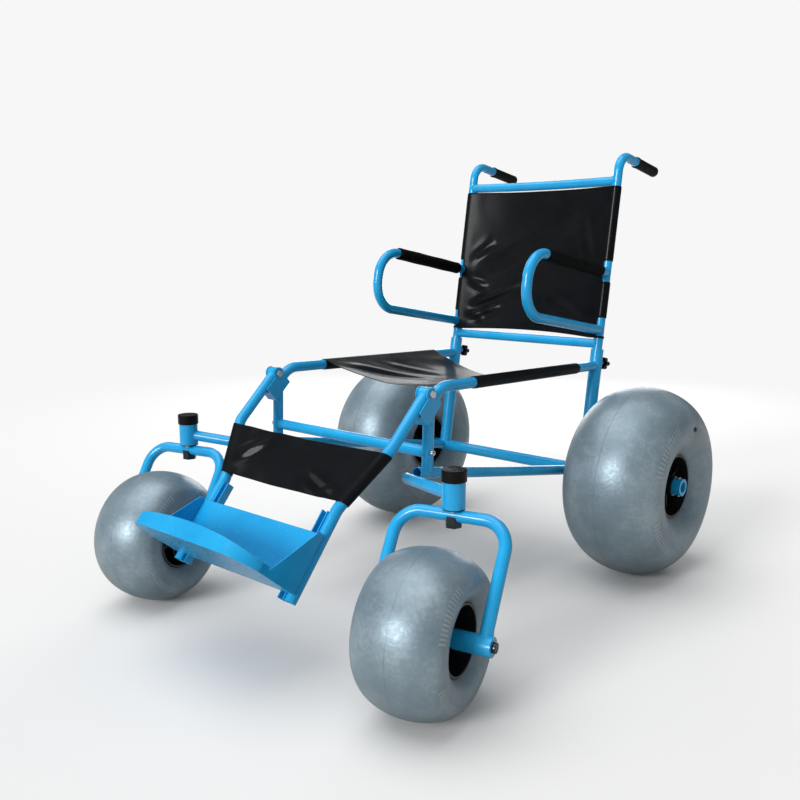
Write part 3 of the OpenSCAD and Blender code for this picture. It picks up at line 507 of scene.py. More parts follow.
def valve_place(which, s):
    wide, tall = TYRES[which]["half_wide"], TYRES[which]["half_tall"]
    out, turn = VALVES[which]
    rise = out - (TYRES[which]["r"] - tall)
    wall = wide - tall + math.sqrt(tall ** 2 - rise ** 2)
    lean = math.asin(rise / tall)
    at = Vector((s * wall, -out * math.sin(turn), out * math.cos(turn)))
    away = Vector((s * math.cos(lean), -math.sin(lean) * math.sin(turn),
                   math.sin(lean) * math.cos(turn)))
    return at, away


def press_dimple(mesh, at, away):
    for vert in mesh.verts:
        near = (vert.co - at).length / DIMPLE_R
        if near < 1.0:
            vert.co -= away * DIMPLE_DEEP * (1.0 - near * near) ** 2


def balloon_tyre(which, side):
    mesh = bmesh.new()
    spin_round(mesh, tyre_section(mesh, TYRES[which]), TYRE_STEPS)
    bmesh.ops.remove_doubles(mesh, verts=mesh.verts, dist=MERGE)
    write_tyre_uv(mesh, TYRES[which])
    press_dimple(mesh, *valve_place(which, SIDES[side]))
    joint = joints[f"{which}_wheel_{side}_spin"]
    mesh.transform(axis_frame(joint["pos_m"], joint["axis"]))
    piece = new_piece(f"{which}_balloon_{side}", mesh, SKIN, f"{which}_wheel_{side}",
                      [f"{which}_tyre_{side}"])
    return smooth_once(piece)

for which in TYRES:
    for side in SIDES:
        tyre = balloon_tyre(which, side)
        print(tyre.name, len(tyre.data.polygons), "faces")

# %% [markdown]
# ## Covers
# Each cover is one sheet: a sleeve round a tube, the span with its sag, and a sleeve round the
# other tube. A cloth simulation could hang it, but a sheet that is sewn taut between two tubes has
# a simple section, and drawing that section keeps the sleeves exactly on their tubes. Creases are
# soft ridges between two points of the sheet, with a shallow dip along both sides of each ridge.

# %% Section and creases of a cover
TUBE_R, SLEEVE_R = 0.0125, 0.0137
HEM_END = math.radians(-230)
HEM_STEPS, SPAN_STEPS = 18, 72
DIP_DEEP, DIP_OFF, CREASE_ENDS = 0.45, 1.9, 0.7


def section_points(half_width, sag, stretch):
    dip = math.atan(2 * sag / half_width)
    edge = half_width - stretch * SLEEVE_R * math.sin(dip)
    leave = math.radians(90) + dip
    near = []
    for k in range(HEM_STEPS + 1):
        a = HEM_END + (leave - HEM_END) * k / HEM_STEPS
        near.append((half_width + stretch * SLEEVE_R * math.cos(a), SLEEVE_R * math.sin(a)))
    span = []
    for k in range(1, SPAN_STEPS):
        x = edge * (1 - 2 * k / SPAN_STEPS)
        drop = math.tan(dip) * (edge ** 2 - x ** 2) / (2 * edge)
        span.append((x, SLEEVE_R * math.cos(dip) - drop))
    far = [(-x, y) for x, y in reversed(near)]
    return near + span + far


def crease_height(x, z, crease):
    x0, z0, x1, z1, depth, width = crease
    way = Vector((x1 - x0, z1 - z0))
    off = Vector((x - x0, z - z0))
    share = off.dot(way) / way.length_squared
    if not 0.0 < share < 1.0:
        return 0.0
    away = (off - way * share).length / width
    ridge = math.exp(-away ** 2) - DIP_DEEP * math.exp(-(away - DIP_OFF) ** 2)
    return depth * ridge * math.sin(math.pi * share) ** CREASE_ENDS

print("cover section points:", 2 * HEM_STEPS + 1 + SPAN_STEPS)

# %% [markdown]
# A bmesh grid is the flat cloth: across it runs the section, along it the length of the cover. Each
# point remembers its row and column, so the stitches' map can be written and the point can be sent
# to its place. The cloth is loose in the middle and tight at the sleeves, so creases, the slow
# slack waves and the arch of an edge all fade out towards the tubes.

# %% Flat cloth and its place
CREASE_GRIP, WAVE_GRIP = 2.5, 4.0
WAVE_SLICE = 7.0


def lay_flat(stations, across):
    along = len(stations) - 1
    mesh = bmesh.new()
    bmesh.ops.create_grid(mesh, x_segments=across, y_segments=along, size=0.5)
    uv = mesh.loops.layers.uv.new("in_and_along")
    grid = {}
    for vert in mesh.verts:
        grid[vert] = (round((vert.co.x + 0.5) * across), round((vert.co.y + 0.5) * along))
    for face in mesh.faces:
        for loop in face.loops:
            i, j = grid[loop.vert]
            z, half_width, _ = stations[j]
            inside = min(i, across - i) - HEM_STEPS
            step = 2 * half_width / SPAN_STEPS if inside > 0 else 2 * math.pi * SLEEVE_R / HEM_STEPS
            loop[uv].uv = (inside * step, z)
    return mesh, grid


def hang(grid, sections, plan):
    stations = plan["stations"]
    end = stations[-1][0]
    length = end - stations[0][0]
    rate_x, rate_z, rate_slant, wave_height = plan["slack"]
    for vert, (i, j) in grid.items():
        z, half_width, _ = stations[j]
        x, y = sections[j][i]
        loose = max(0.0, 1.0 - (x / (half_width - 2 * TUBE_R)) ** 2)
        creased = sum(crease_height(x, z, crease) for crease in plan["creases"])
        wave = noise.noise(Vector((rate_x * x + rate_z * z, rate_slant * (z - x), WAVE_SLICE)))
        y += min(1.0, CREASE_GRIP * loose) * creased
        y += min(1.0, WAVE_GRIP * loose) * wave_height * wave
        z += plan["arch"] * loose * (end - z) / length
        vert.co = (x, y, z)


def open_sleeves(mesh, grid, stations, across, gaps):
    cut = []
    for face in mesh.faces:
        column = min(grid[vert][0] for vert in face.verts)
        in_sleeve = min(column, across - 1 - column) < HEM_STEPS
        middle = sum(stations[grid[vert][1]][0] for vert in face.verts) / len(face.verts)
        if in_sleeve and any(low < middle < high for low, high in gaps):
            cut.append(face)
    bmesh.ops.delete(mesh, geom=cut, context="FACES")

print("cloth helpers ready")

# %% [markdown]
# The finished sheet has no thickness yet, so its faces can be measured: their area is the size the
# cloth was cut to. Solidify then gives the film its thickness, and one subdivision takes the last
# corners out of the folds. Both stay as modifiers, which keeps the sheet itself easy to change.

# %% One cover from a plan
CLOTH_T = 0.0017


def cover(name, place, plan, body, stands_for):
    stations = plan["stations"]
    sections = [section_points(half_width, sag, plan["stretch"]) for _, half_width, sag in stations]
    across = len(sections[0]) - 1
    mesh, grid = lay_flat(stations, across)
    hang(grid, sections, plan)
    open_sleeves(mesh, grid, stations, across, plan["gaps"])
    mesh.transform(place)
    bmesh.ops.recalc_face_normals(mesh, faces=mesh.faces)
    area = sum(face.calc_area() for face in mesh.faces)
    piece = new_piece(name, mesh, CLOTH, body, stands_for)
    wall = piece.modifiers.new("film", "SOLIDIFY")
    wall.thickness = CLOTH_T
    wall.offset = 0.0
    smooth_once(piece)

print("cover maker ready")

# %% [markdown]
# ### Seat cover
# The seat hangs between the two side tubes, deeper at the back than at the front, where its edge
# is pulled tighter. Short creases run from the front corners into the dip. Its place is measured
# from the middle of the rear axle, up along the leaning back posts and forward along the side
# tubes. In a plan, a station is a place along the cover with its half width and sag. A crease is a
# start and an end on the sheet, across and along, then its depth and width. Slack is how fast the
# waves run across, along and on the slant, then their height. The sleeves can be stretched or
# opened at gaps, and an edge can be arched.

# %% Seat cover
ACROSS = Vector((1, 0, 0))
AXLE = sum((Vector(joints[f"rear_wheel_{side}_spin"]["pos_m"]) for side in SIDES), Vector()) / len(SIDES)
HALF_W = 0.241
LEAN, SEAT_RISE = math.radians(9.3), math.radians(1.8)
SEAT_H, SEAT_LEN, SEAT_BARE = 0.528, 0.4597, 0.105
SEAT_ROWS, SEAT_SAG, SAG_LOST = 60, 0.062, 0.022
SEAT_TOP = AXLE + Vector((0, (SEAT_H - AXLE.z) * math.tan(LEAN), SEAT_H - AXLE.z))
seat_along = Vector((0, -math.cos(SEAT_RISE), math.sin(SEAT_RISE)))
seat_up = Vector((0, math.sin(SEAT_RISE), math.cos(SEAT_RISE)))
seat_shares = [k / SEAT_ROWS for k in range(SEAT_ROWS + 1)]
seat_plan = {
    "stations": [(SEAT_LEN * share, HALF_W, SEAT_SAG - SAG_LOST * share) for share in seat_shares],
    "creases": [
        (-0.228, 0.44, -0.04, 0.24, 0.005, 0.018),
        (-0.228, 0.30, -0.08, 0.16, 0.003, 0.016),
        (0.228, 0.43, 0.07, 0.28, 0.005, 0.018),
        (0.10, 0.46, 0.02, 0.30, 0.003, 0.016),
    ],
    "slack": (9.0, 5.0, 4.0, 0.004),
    "stretch": 1.0,
    "arch": 0.0,
    "gaps": [],
}
seat_place = columns(SEAT_TOP + seat_along * SEAT_BARE, ACROSS, seat_up, seat_along)
cover("seat_cover", seat_place, seat_plan, "frame", ["seat_sling"])

# %% [markdown]
# ### Back cover
# The back is wider than it is tall and shows long creases that climb from the lower corner on the
# sitter's right. Its sleeves are open where the arm loops meet the posts, and the lower edge lifts
# in the middle. It is the same sheet as the seat with another plan, so only the plan is new.

# %% Back cover
BACK_LOW, BACK_TOP = 0.361, 0.774
BACK_ROWS, BACK_SAG = 59, 0.026
ARM_UPS = (0.384, 0.541)
ARM_ROOM = ((0.014, 0.030), (0.027, 0.027))
back_up = Vector((0, math.sin(LEAN), math.cos(LEAN)))
back_front = Vector((0, -math.cos(LEAN), math.sin(LEAN)))
back_plan = {
    "stations": [((BACK_TOP - BACK_LOW) * k / BACK_ROWS, HALF_W, BACK_SAG) for k in range(BACK_ROWS + 1)],
    "creases": [
        (0.19, 0.17, -0.205, 0.355, 0.006, 0.018),
        (-0.15, 0.335, -0.205, 0.18, 0.004, 0.012),
        (0.20, 0.075, 0.04, 0.135, 0.005, 0.010),
        (0.215, 0.035, 0.10, 0.07, 0.005, 0.009),
        (0.222, 0.06, 0.15, 0.03, 0.004, 0.008),
        (0.225, 0.205, 0.14, 0.265, 0.004, 0.010),
        (0.225, 0.150, 0.15, 0.125, 0.004, 0.009),
        (-0.215, 0.03, -0.06, 0.10, 0.003, 0.012),
        (0.02, 0.02, -0.15, 0.045, 0.003, 0.010),
    ],
    "slack": (7.0, 4.0, 6.0, 0.002),
    "stretch": 1.0,
    "arch": 0.010,
    "gaps": [(up - under - BACK_LOW, up + over - BACK_LOW)
             for up, (under, over) in zip(ARM_UPS, ARM_ROOM)],
}
back_place = columns(AXLE + back_up * BACK_LOW, -ACROSS, back_front, back_up)
cover("back_cover", back_place, back_plan, "backrest", ["back_sling", "back_hems"])

# %% [markdown]
# ### Calf strap
# The strap spans the two legs where they run inwards, so it is narrower below than above, and its
# sleeves are stretched a little because they cut the slanting tubes at an angle. Small folds lie
# beside the sleeves and catch a streak of light. Folds that are too deep show both of their sides
# and look like rings, so they stay shallow.

# %% Calf strap
LEG_HINGE = Vector(joints["leg_rest_raise"]["pos_m"])
LEG_SLOPE, SHIN_SLOPE = math.radians(43), math.radians(50)
LEG_UPPER, LEG_INWARD, LEG_X = 0.150, 0.150, 0.181
STRAP_ROWS, STRAP_SAG, STRAP_START, STRAP_SHARE = 40, 0.010, 0.10, 0.82
knee = LEG_HINGE + Vector((0, -math.cos(LEG_SLOPE), -math.sin(LEG_SLOPE))) * LEG_UPPER
shin_up = Vector((0, math.cos(SHIN_SLOPE), math.sin(SHIN_SLOPE)))
shin_front = Vector((0, -math.sin(SHIN_SLOPE), math.cos(SHIN_SLOPE)))
leg_slant = math.atan((HALF_W - LEG_X) / LEG_INWARD)
strap_shares = [STRAP_START + STRAP_SHARE * k / STRAP_ROWS for k in range(STRAP_ROWS + 1)]
strap_plan = {
    "stations": [(LEG_INWARD * share, HALF_W - (HALF_W - LEG_X) * share, STRAP_SAG)
                 for share in strap_shares],
    "creases": [
        (-0.225, 0.124, -0.055, 0.004, 0.0034, 0.0120),
        (-0.230, 0.150, -0.105, 0.034, 0.0036, 0.0100),
        (0.212, 0.030, 0.130, 0.140, 0.0046, 0.0110),
        (0.185, 0.142, 0.050, 0.096, 0.0032, 0.0080),
    ],
    "slack": (9.0, 6.0, 9.0, 0.003),
    "stretch": 1 / math.cos(leg_slant),
    "arch": 0.0,
    "gaps": [],
}
strap_place = columns(knee, ACROSS, shin_front, -shin_up)
cover("calf_cover", strap_place, strap_plan, "leg_rest", ["calf_strap"])

# %% [markdown]
# ## Arm foam
# The foam on each arm loop is a soft sleeve with rounded ends and a slightly uneven skin. It is a
# turned shape: a few points of an outline, spun round the tube. A tube primitive would have hard
# ends and a ruled skin; the outline gives both ends the same soft corner and adds a small wave.

# %% Turned pieces and arm foam
TURNED_STEPS, BORE_FIT = 48, 0.0003
BORE_R = TUBE_R + BORE_FIT
FOAM_LEN, FOAM_R, ARM_FRONT = 0.2795, 0.0165, 0.3135
FOAM_SOFT, FOAM_LIP = 0.004, 0.0005
FOAM_CORNER = FOAM_SOFT * 0.35
FOAM_ROWS, FOAM_WAVE, WAVE_STEP = 12, 0.0004, 5.0


def turned(name, start, axis, outline, finish, body, stands_for, steps=TURNED_STEPS):
    mesh = bmesh.new()
    verts = [mesh.verts.new((along, 0.0, out)) for along, out in outline]
    for pair in zip(verts, verts[1:]):
        mesh.edges.new(pair)
    spin_round(mesh, verts, steps)
    mesh.transform(axis_frame(start, axis))
    return new_piece(name, mesh, finish, body, stands_for)


def foam_outline():
    end = [(FOAM_SOFT, BORE_R), (0.0, BORE_R + FOAM_LIP), (0.0, FOAM_R - FOAM_SOFT),
           (FOAM_CORNER, FOAM_R - FOAM_CORNER), (FOAM_SOFT, FOAM_R)]
    skin = []
    for k in range(1, FOAM_ROWS):
        skin.append((FOAM_LEN * k / FOAM_ROWS, FOAM_R + FOAM_WAVE * math.sin(WAVE_STEP * k)))
    other_end = [(FOAM_LEN - along, out) for along, out in reversed(end)]
    return end + skin + other_end

for side, s in SIDES.items():
    arm_end = AXLE + back_up * ARM_UPS[1] + back_front * ARM_FRONT + ACROSS * s * HALF_W
    foam = turned(f"arm_pad_{side}", arm_end, -back_front, foam_outline(), ARM_FOAM,
                  "backrest", [f"foam_{side}"])
    print(foam.name, len(foam.data.polygons), "faces")

# %% [markdown]
# ## Push grips
# The grips are moulded rubber, pushed over the ends of the handles: a collar at the open end, a row
# of shallow rings for the fingers, and a domed tip. The rings could be a bump, but they show in the
# outline of the grip, so they are turned with it.

# %% Push grips
GRIP_LEN, GRIP_R = 0.122, 0.0155
HANDLE_UP, HANDLE_REACH, GRIP_PAST = 0.861, 0.212, 0.004
RINGS, RINGS_FROM, RINGS_LESS = 14, 0.012, 0.030
GROOVE_R, RING_R = GRIP_R - 0.002, GRIP_R - 0.0011
RING_UP, RING_DOWN = 0.3, 0.6
TIP_R, TIP_LEN, TIP_STEPS = GRIP_R - 0.0008, 0.008, 8
COLLAR = [(0.0, BORE_R), (0.0, GRIP_R - 0.0012), (0.001, GRIP_R), (0.006, GRIP_R), (0.008, GROOVE_R)]


def grip_outline():
    points = list(COLLAR)
    ringed = GRIP_LEN - RINGS_LESS
    pitch = ringed / RINGS
    for k in range(RINGS):
        along = RINGS_FROM + ringed * k / RINGS
        points += [(along, GROOVE_R), (along + pitch * RING_UP, RING_R),
                   (along + pitch * RING_DOWN, RING_R)]
    for k in range(TIP_STEPS):
        a = math.radians(90) * k / TIP_STEPS
        points.append((GRIP_LEN - TIP_LEN + TIP_LEN * math.sin(a), TIP_R * math.cos(a) ** 0.5))
    return points + [(GRIP_LEN, 0.0)]

for side, s in SIDES.items():
    low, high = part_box(f"grip_{side}")
    tip = AXLE + back_up * HANDLE_UP - back_front * HANDLE_REACH + ACROSS * s * HALF_W
    open_end = tip + back_front * (GRIP_LEN - GRIP_PAST)
    grip = turned(f"push_grip_{side}", open_end, -back_front, grip_outline(), GRIP_RUBBER,
                  "backrest", [f"grip_{side}"])
    print(grip.name, "solid from", rounded(low), "to", rounded(high))

# %% [markdown]
# ## Valve plugs
# The black plug that closes each balloon sits in the dimple pressed above. It is a turned washer
# with a small cap that has a well in its middle, standing square to the wall. It is so small that a
# few outline points are enough.

# %% Valve plugs
PLUG_STEPS = 32
PLUG_OUTLINE = [
    (-0.002, 0.0075), (0.0006, 0.0075), (0.0012, 0.0068), (0.0012, 0.0048), (0.0034, 0.0046),
    (0.0042, 0.0038), (0.0042, 0.0016), (0.0030, 0.0012), (0.0030, 0.0),
]
for which in TYRES:
    for side, s in SIDES.items():
        joint = joints[f"{which}_wheel_{side}_spin"]
        wheel = axis_frame(joint["pos_m"], joint["axis"])
        at, away = valve_place(which, s)
        seat = wheel @ (at - away * DIMPLE_DEEP)
        plug = turned(f"{which}_valve_{side}", seat, wheel.to_3x3() @ away, PLUG_OUTLINE, HUB_PLASTIC,
                      f"{which}_wheel_{side}", (), PLUG_STEPS)
        print(plug.name, rounded(seat))

# %% [markdown]
# ## Softer edges
# A drawn solid has knife edges, and no real pressing, moulding or bolt head has them. A copy of
# the solid is cleaned first: its doubled points are merged and the triangles of each flat side are
# dissolved into one face. Then every edge that folds by more than a set angle gets a small round.
# The light catches these rounds, and they say what each piece is made of: tight on sheet metal,
# wider on moulded plastic. The channels on the inner side of the legs also run on up to the strap.

# %% Rounded copies of the solids
SOLID_MERGE, FLAT_TOLERANCE = 2e-6, math.radians(0.4)
FOLD, ROUND_STEPS, FLAT_WEIGHT = math.radians(32), 2, 90
END_BAND, CHANNEL_MORE = 1e-4, 0.026
LONGER = {f"channel_{side}": shin_up * CHANNEL_MORE for side in SIDES}


def stretch_end(mesh, more):
    way = more.normalized()
    top = max(vert.co.dot(way) for vert in mesh.verts)
    for vert in mesh.verts:
        if vert.co.dot(way) > top - END_BAND:
            vert.co += more


def softened(node, width, finish, body):
    mesh = bmesh.new()
    mesh.from_mesh(nodes[node].data)
    mesh.transform(nodes[node].matrix_world)
    bmesh.ops.remove_doubles(mesh, verts=mesh.verts, dist=SOLID_MERGE)
    bmesh.ops.dissolve_limit(mesh, angle_limit=FLAT_TOLERANCE, verts=mesh.verts, edges=mesh.edges)
    if node in LONGER:
        stretch_end(mesh, LONGER[node])
    shared = [edge for edge in mesh.edges if len(edge.link_faces) == 2]
    folds = [edge for edge in shared if edge.calc_face_angle() > FOLD]
    bmesh.ops.bevel(mesh, geom=folds, offset=width, offset_type="OFFSET", affect="EDGES",
                    segments=ROUND_STEPS, profile=0.5, clamp_overlap=True, material=-1)
    piece = new_piece(f"{node}_rounded", mesh, finish, body, [node])
    flats = piece.modifiers.new("flat_sides", "WEIGHTED_NORMAL")
    flats.weight = FLAT_WEIGHT
    return piece

print("rounds on folds past", round(math.degrees(FOLD)), "degrees")

# %% [markdown]
# Which pieces get a round, and how wide it is, is best kept in one list: the pressed sheets and
# brackets have about a millimetre, the caps and knobs more, and the forged crown nuts the most.

# %% Pieces with rounded edges
SOFT_EDGED = [
    ("foot_pan", 0.0010, BLUE, "leg_rest", "blue_powder_coat"),
    ("gussets", 0.0010, BLUE, "leg_rest", "blue_powder_coat"),
    ("channel_l", 0.0008, BLUE, "leg_rest", "blue_powder_coat"),
    ("channel_r", 0.0008, BLUE, "leg_rest", "blue_powder_coat"),
    ("bracket_l", 0.0008, BLUE, "frame", "blue_powder_coat"),
    ("bracket_r", 0.0008, BLUE, "frame", "blue_powder_coat"),
    ("axle_collars", 0.0012, BLUE, "frame", "blue_powder_coat"),
    ("pivot_bolts", 0.0010, STEEL, "frame", "bright_steel"),
    ("head_caps", 0.0020, CAP_PLASTIC, "frame", "black_plastic"),
]
for side in SIDES:
    SOFT_EDGED += [
        (f"knob_{side}", 0.0015, CAP_PLASTIC, f"knob_{side}", "black_plastic"),
        (f"crown_nut_{side}", 0.0035, BLACK_STEEL, f"caster_{side}", "bright_steel"),
        (f"front_axle_{side}", 0.0010, BLACK_STEEL, f"caster_{side}", "bright_steel"),
        (f"front_hub_{side}", 0.0012, HUB_PLASTIC, f"front_wheel_{side}", "black_plastic"),
        (f"rear_hub_{side}", 0.0012, HUB_PLASTIC, f"rear_wheel_{side}", "black_plastic"),
    ]
for node, width, finish, body, slot in SOFT_EDGED:
    piece = softened(node, width, finish, body)
    print(piece.name, len(nodes[node].data.polygons), "->", len(piece.data.polygons), "faces")

# %% [markdown]
# ## Weld beads
# The tubes are welded, and under the powder coat each joint keeps its bead: a thin ripple that
# follows the saddle curve where one tube meets another. A curve drawn by hand would drift off that
# line, so each bead starts as a small circle spun into a ring round the joining tube. Then every
# point slides along that tube until the ring lies on the other tube's surface, and a sine adds the
# ripple of the weld pool.

# %% Bead maker
BEAD_R, BEAD_POINTS, BEAD_STEPS = 0.0017, 10, 108
RIPPLES, RIPPLE_SWELL = 36, 0.18


def saddle(along, main, out, main_r):
    free = along - main * along.dot(main)
    side = out - main * out.dot(main)
    a, b, c = free.length_squared, free.dot(side), side.length_squared - main_r ** 2
    return (-b + math.sqrt(max(0.0, b * b - a * c))) / a


def bead(at, along, main, r, main_r):
    ring = bmesh.new()
    start = bmesh.ops.create_circle(ring, segments=BEAD_POINTS, radius=BEAD_R)["verts"]
    for vert in start:
        vert.co = (vert.co.x, 0.0, r + vert.co.y)
    spin_round(ring, start, BEAD_STEPS)
    place = axis_frame(at, along, main)
    turn = place.to_3x3()
    for vert in ring.verts:
        out = Vector((0.0, vert.co.y, vert.co.z)).normalized()
        slide = saddle(turn.col[0], main, turn @ (out * r), main_r)
        swell = 1.0 + RIPPLE_SWELL * math.sin(RIPPLES * math.atan2(out.y, out.z))
        vert.co = out * r + (vert.co - out * r) * swell + Vector((slide, 0.0, 0.0))
    ring.transform(place)
    return ring


def beads(name, body, joins):
    group = bmesh.new()
    for at, along, main, r, main_r in joins:
        ring = bead(Vector(at), Vector(along).normalized(), Vector(main).normalized(), r, main_r)
        scratch = bpy.data.meshes.new("scratch")
        ring.to_mesh(scratch)
        ring.free()
        group.from_mesh(scratch)
        bpy.data.meshes.remove(scratch)
    piece = new_piece(name, group, BLUE, body)
    print(piece.name, len(joins), "beads")

print("bead maker ready")

# %% [markdown]
# ### Beads of the back
# On each back post the two ends of an arm loop are welded on at the front, and the low bar and the
# top bar from the side. Each join is written as a point, the way the joining tube leaves, the way
# the main tube runs, and the two radii.

# %% Beads of the back
LOW_BAR_UP, TOP_BAR_UP = 0.347, 0.789
back_joins = []
for s in SIDES.values():
    post = AXLE + ACROSS * s * HALF_W
    for up in ARM_UPS:
        back_joins.append((post + back_up * up, back_front, back_up, TUBE_R, TUBE_R))
    for up in (LOW_BAR_UP, TOP_BAR_UP):
        back_joins.append((post + back_up * up, ACROSS * -s, back_up, TUBE_R, TUBE_R))
beads("back_beads", "backrest", back_joins)

# %% [markdown]
# ### Beads of the frame
# The frame has five kinds of join on each side: cross tube on front post, front post on bottom
# rail, seat tube on back socket, bottom rail on axle tube, and outrigger on caster head. Their
# places follow from the same few heights and slopes as the seat.

# %% Beads of the frame
SOCKET_R, AXLE_R, HEAD_R = 0.017, 0.016, 0.0225
POST_REACH, RAIL_H, CROSS_H = 0.672, 0.367, 0.413
RIGGER_IN, RIGGER_BACK, RIGGER_UNDER, RIGGER_H = 0.027, 0.105, 0.009, 0.3823
rail_way = Vector((0, -POST_REACH, RAIL_H - AXLE.z)).normalized()
corner = SEAT_TOP + seat_along * ((POST_REACH + SEAT_TOP.y - AXLE.y) / math.cos(SEAT_RISE))
cross = corner - seat_up * ((corner.z - CROSS_H) / math.cos(SEAT_RISE))
foot = corner - seat_up * ((corner.z - RAIL_H) / math.cos(SEAT_RISE))
frame_joins = []
for side, s in SIDES.items():
    out = ACROSS * s * HALF_W
    stem = Vector(joints[f"caster_{side}_swivel"]["pos_m"])
    rigger_in = Vector((AXLE.x + s * (HALF_W - RIGGER_IN), stem.y + RIGGER_BACK, RAIL_H - RIGGER_UNDER))
    rigger_out = Vector((stem.x, stem.y, RIGGER_H))
    frame_joins += [
        (cross + out, ACROSS * -s, -seat_up, TUBE_R, TUBE_R),
        (foot + out, seat_up, rail_way, TUBE_R, TUBE_R),
        (SEAT_TOP + out, seat_along, back_up, TUBE_R, SOCKET_R),
        (AXLE + out, rail_way, ACROSS, TUBE_R, AXLE_R),
        (rigger_out, rigger_in - rigger_out, (0, 0, 1), TUBE_R, HEAD_R),
    ]
beads("frame_beads", "frame", frame_joins)

# %% [markdown]
# ### Beads of the forks
# Each fork is one bent tube whose two ends are welded to the round bosses that hold the wheel's
# axle bolt. These beads turn with the caster, so they are a piece of their own on each side.

# %% Beads of the forks
BOSS_R, FORK_HALF, CROWN_H = 0.0185, 0.1155, 0.343
for side in SIDES:
    spin = joints[f"front_wheel_{side}_spin"]
    hub, axis = Vector(spin["pos_m"]), Vector(spin["axis"]).normalized()
    stem = Vector(joints[f"caster_{side}_swivel"]["pos_m"])
    leg = Vector((stem.x, stem.y, CROWN_H)) - hub
    fork_joins = [(hub + axis * s * FORK_HALF, leg, axis, TUBE_R, BOSS_R) for s in SIDES.values()]
    beads(f"fork_beads_{side}", f"caster_{side}", fork_joins)

# %% [markdown]
# ## Studio
# The chair stands on a plain pale floor that fades into a white wall, so that nothing draws the eye
# from it. The wall could be a curved backdrop, but a fade needs no shape: far from the middle the
# camera sees plain white instead of the floor. Other rays see a darker floor, so that it throws
# less light back up at the chair, and the shadows stay.

# %% Floor
PALE, SHADED, WALL = (0.83, 0.82, 0.805), (0.50, 0.48, 0.45), (0.93, 0.93, 0.93)
FADE_FROM, FADE_TO = 1.3, 4.0
FLOOR_HALF, FLOOR_CELLS = 20.0, 8


def floor_finish():
    finish, tree, shader = new_finish("pale_floor", 0.9)
    camera_ray = (add(tree, "LightPath"), "Is Camera Ray")
    wire(tree, ramp_of(tree, camera_ray, (0.0, SHADED), (1.0, PALE)), shader, "Base Color")
    distance = add(tree, "VectorMath", operation="LENGTH")
    wire(tree, object_place(tree), distance, 0)
    fade = add(tree, "MapRange", From_Min=FADE_FROM, From_Max=FADE_TO)
    wire(tree, (distance, "Value"), fade, "Value")
    wall = add(tree, "Emission", Color=(*WALL, 1.0))
    blend = add(tree, "MixShader")
    wire(tree, maths(tree, "MULTIPLY", (fade, 0), camera_ray), blend, "Fac")
    wire(tree, (shader, "BSDF"), blend, 1)
    wire(tree, (wall, "Emission"), blend, 2)
    wire(tree, (blend, "Shader"), tree.nodes["Material Output"], "Surface")
    return finish


def plain_floor():
    mesh = bmesh.new()
    bmesh.ops.create_grid(mesh, x_segments=FLOOR_CELLS, y_segments=FLOOR_CELLS, size=FLOOR_HALF)
    data = bpy.data.meshes.new("studio_floor")
    mesh.to_mesh(data)
    mesh.free()
    data.materials.append(floor_finish())
    floor = bpy.data.objects.new("studio_floor", data)
    bpy.context.scene.collection.objects.link(floor)

plain_floor()
print("floor ready")

# %% [markdown]
# The world is three lights in one, chosen by the kind of ray: a cool, dim sky lights the chair, a
# bluer and dimmer one shows in glossy surfaces, and the camera sees the white of the wall. One
# bright sky for all three would wash out the blacks.

# %% World
SKY, MIRRORED_SKY = (0.93, 0.96, 1.0), (0.85, 0.94, 1.0)
SKY_STRENGTH, MIRROR_STRENGTH = 0.4, 0.2


def studio_world():
    world = bpy.data.worlds.new("studio_light")
    bpy.context.scene.world = world
    world.use_nodes = True
    tree = world.node_tree
    path = add(tree, "LightPath")
    sky = tree.nodes["Background"]
    sky.inputs["Color"].default_value = (*SKY, 1.0)
    sky.inputs["Strength"].default_value = SKY_STRENGTH
    seen = sky
    others = [("Is Glossy Ray", MIRRORED_SKY, MIRROR_STRENGTH), ("Is Camera Ray", WALL, 1.0)]
    for ray, colour, strength in others:
        light = add(tree, "Background", Color=(*colour, 1.0), Strength=strength)
        choose = add(tree, "MixShader")
        wire(tree, (path, ray), choose, "Fac")
        wire(tree, (seen, 0), choose, 1)
        wire(tree, (light, 0), choose, 2)
        seen = choose
    wire(tree, (seen, 0), tree.nodes["World Output"], "Surface")

studio_world()
print("world ready")

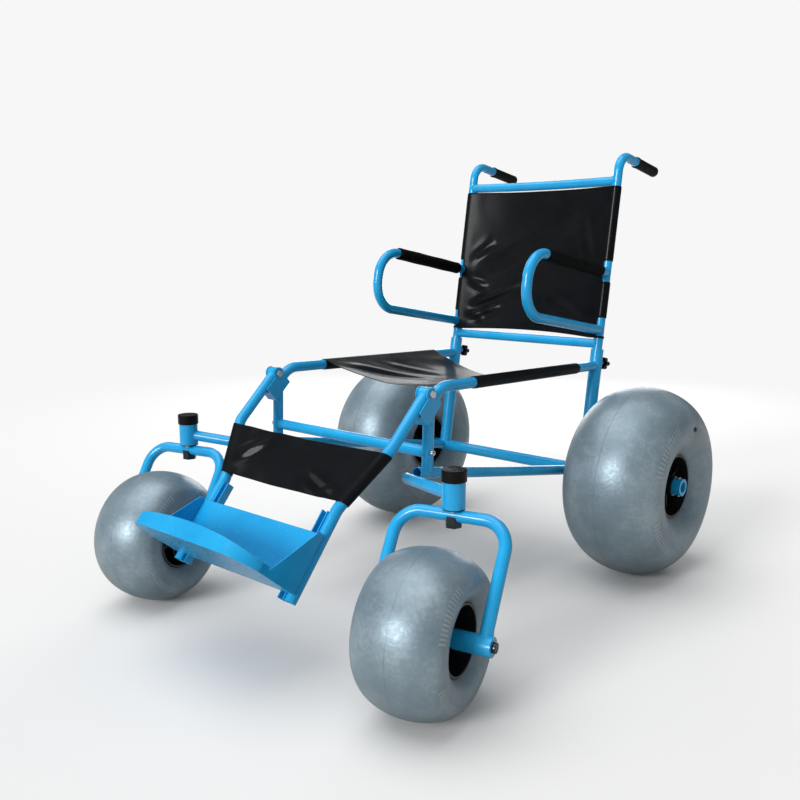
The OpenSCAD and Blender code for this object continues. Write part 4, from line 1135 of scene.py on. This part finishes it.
# %% [markdown]
# ## Lamps
# Three lamps do the work: a low hazy sun in front of the chair draws soft streaks on the tubes and
# tyres, a broad one from above fills the shadows, and a wide panel behind the chair mirrors in the
# film of the seat cover. Suns give the same light everywhere, so no piece is brighter only because
# it stands nearer.

# %% Lamps
MIDDLE = Vector((0.0, 0.0, 0.45))


def stand_lamp(lamp, place):
    stand = bpy.data.objects.new(lamp.name, lamp)
    stand.location = place
    stand.rotation_euler = (MIDDLE - Vector(place)).to_track_quat("-Z", "Y").to_euler()
    bpy.context.scene.collection.objects.link(stand)
    return stand


def hazy_sun(name, place, spread, power):
    lamp = bpy.data.lights.new(name, "SUN")
    lamp.angle = math.radians(spread)
    lamp.energy = power
    stand_lamp(lamp, place)


def soft_panel(name, place, size, power):
    lamp = bpy.data.lights.new(name, "AREA")
    lamp.shape = "RECTANGLE"
    lamp.size, lamp.size_y = size
    lamp.energy = power
    stand_lamp(lamp, place).visible_camera = False

hazy_sun("key", (-0.2, -3.0, 1.5), spread=22.0, power=2.1)
hazy_sun("top", (-0.9, -0.6, 4.0), spread=60.0, power=1.55)
soft_panel("rim", (-2.0, 3.0, 1.1), size=(2.8, 1.2), power=40.0)
print("lamps ready")

# %% [markdown]
# ## Camera
# The camera stands where the photograph was taken from, a little above seat height and off the
# sitter's left knee. Its place was found from the photograph's own lines, and its lens follows from
# the focal length in pixels and the width of the picture.

# %% Camera
PICTURE, FOCAL_PX, SENSOR = 800, 873.0, 36.0
EYE_SIDE, EYE_FRONT, EYE_H = 1.393, 2.089, 0.841
AIM_FRONT, AIM_H = 0.490, 0.475
camera_data = bpy.data.cameras.new("photo_camera")
camera_data.sensor_width = SENSOR
camera_data.lens = FOCAL_PX / PICTURE * SENSOR
camera = bpy.data.objects.new("photo_camera", camera_data)
eye = Vector((AXLE.x + EYE_SIDE, AXLE.y - EYE_FRONT, EYE_H))
target = Vector((AXLE.x, AXLE.y - AIM_FRONT, AIM_H))
camera.location = eye
camera.rotation_euler = (target - eye).to_track_quat("-Z", "Y").to_euler()
bpy.context.scene.collection.objects.link(camera)
bpy.context.scene.camera = camera
bpy.context.scene.view_settings.view_transform = "Standard"
print("camera at", rounded(eye), "lens", round(camera_data.lens, 2))
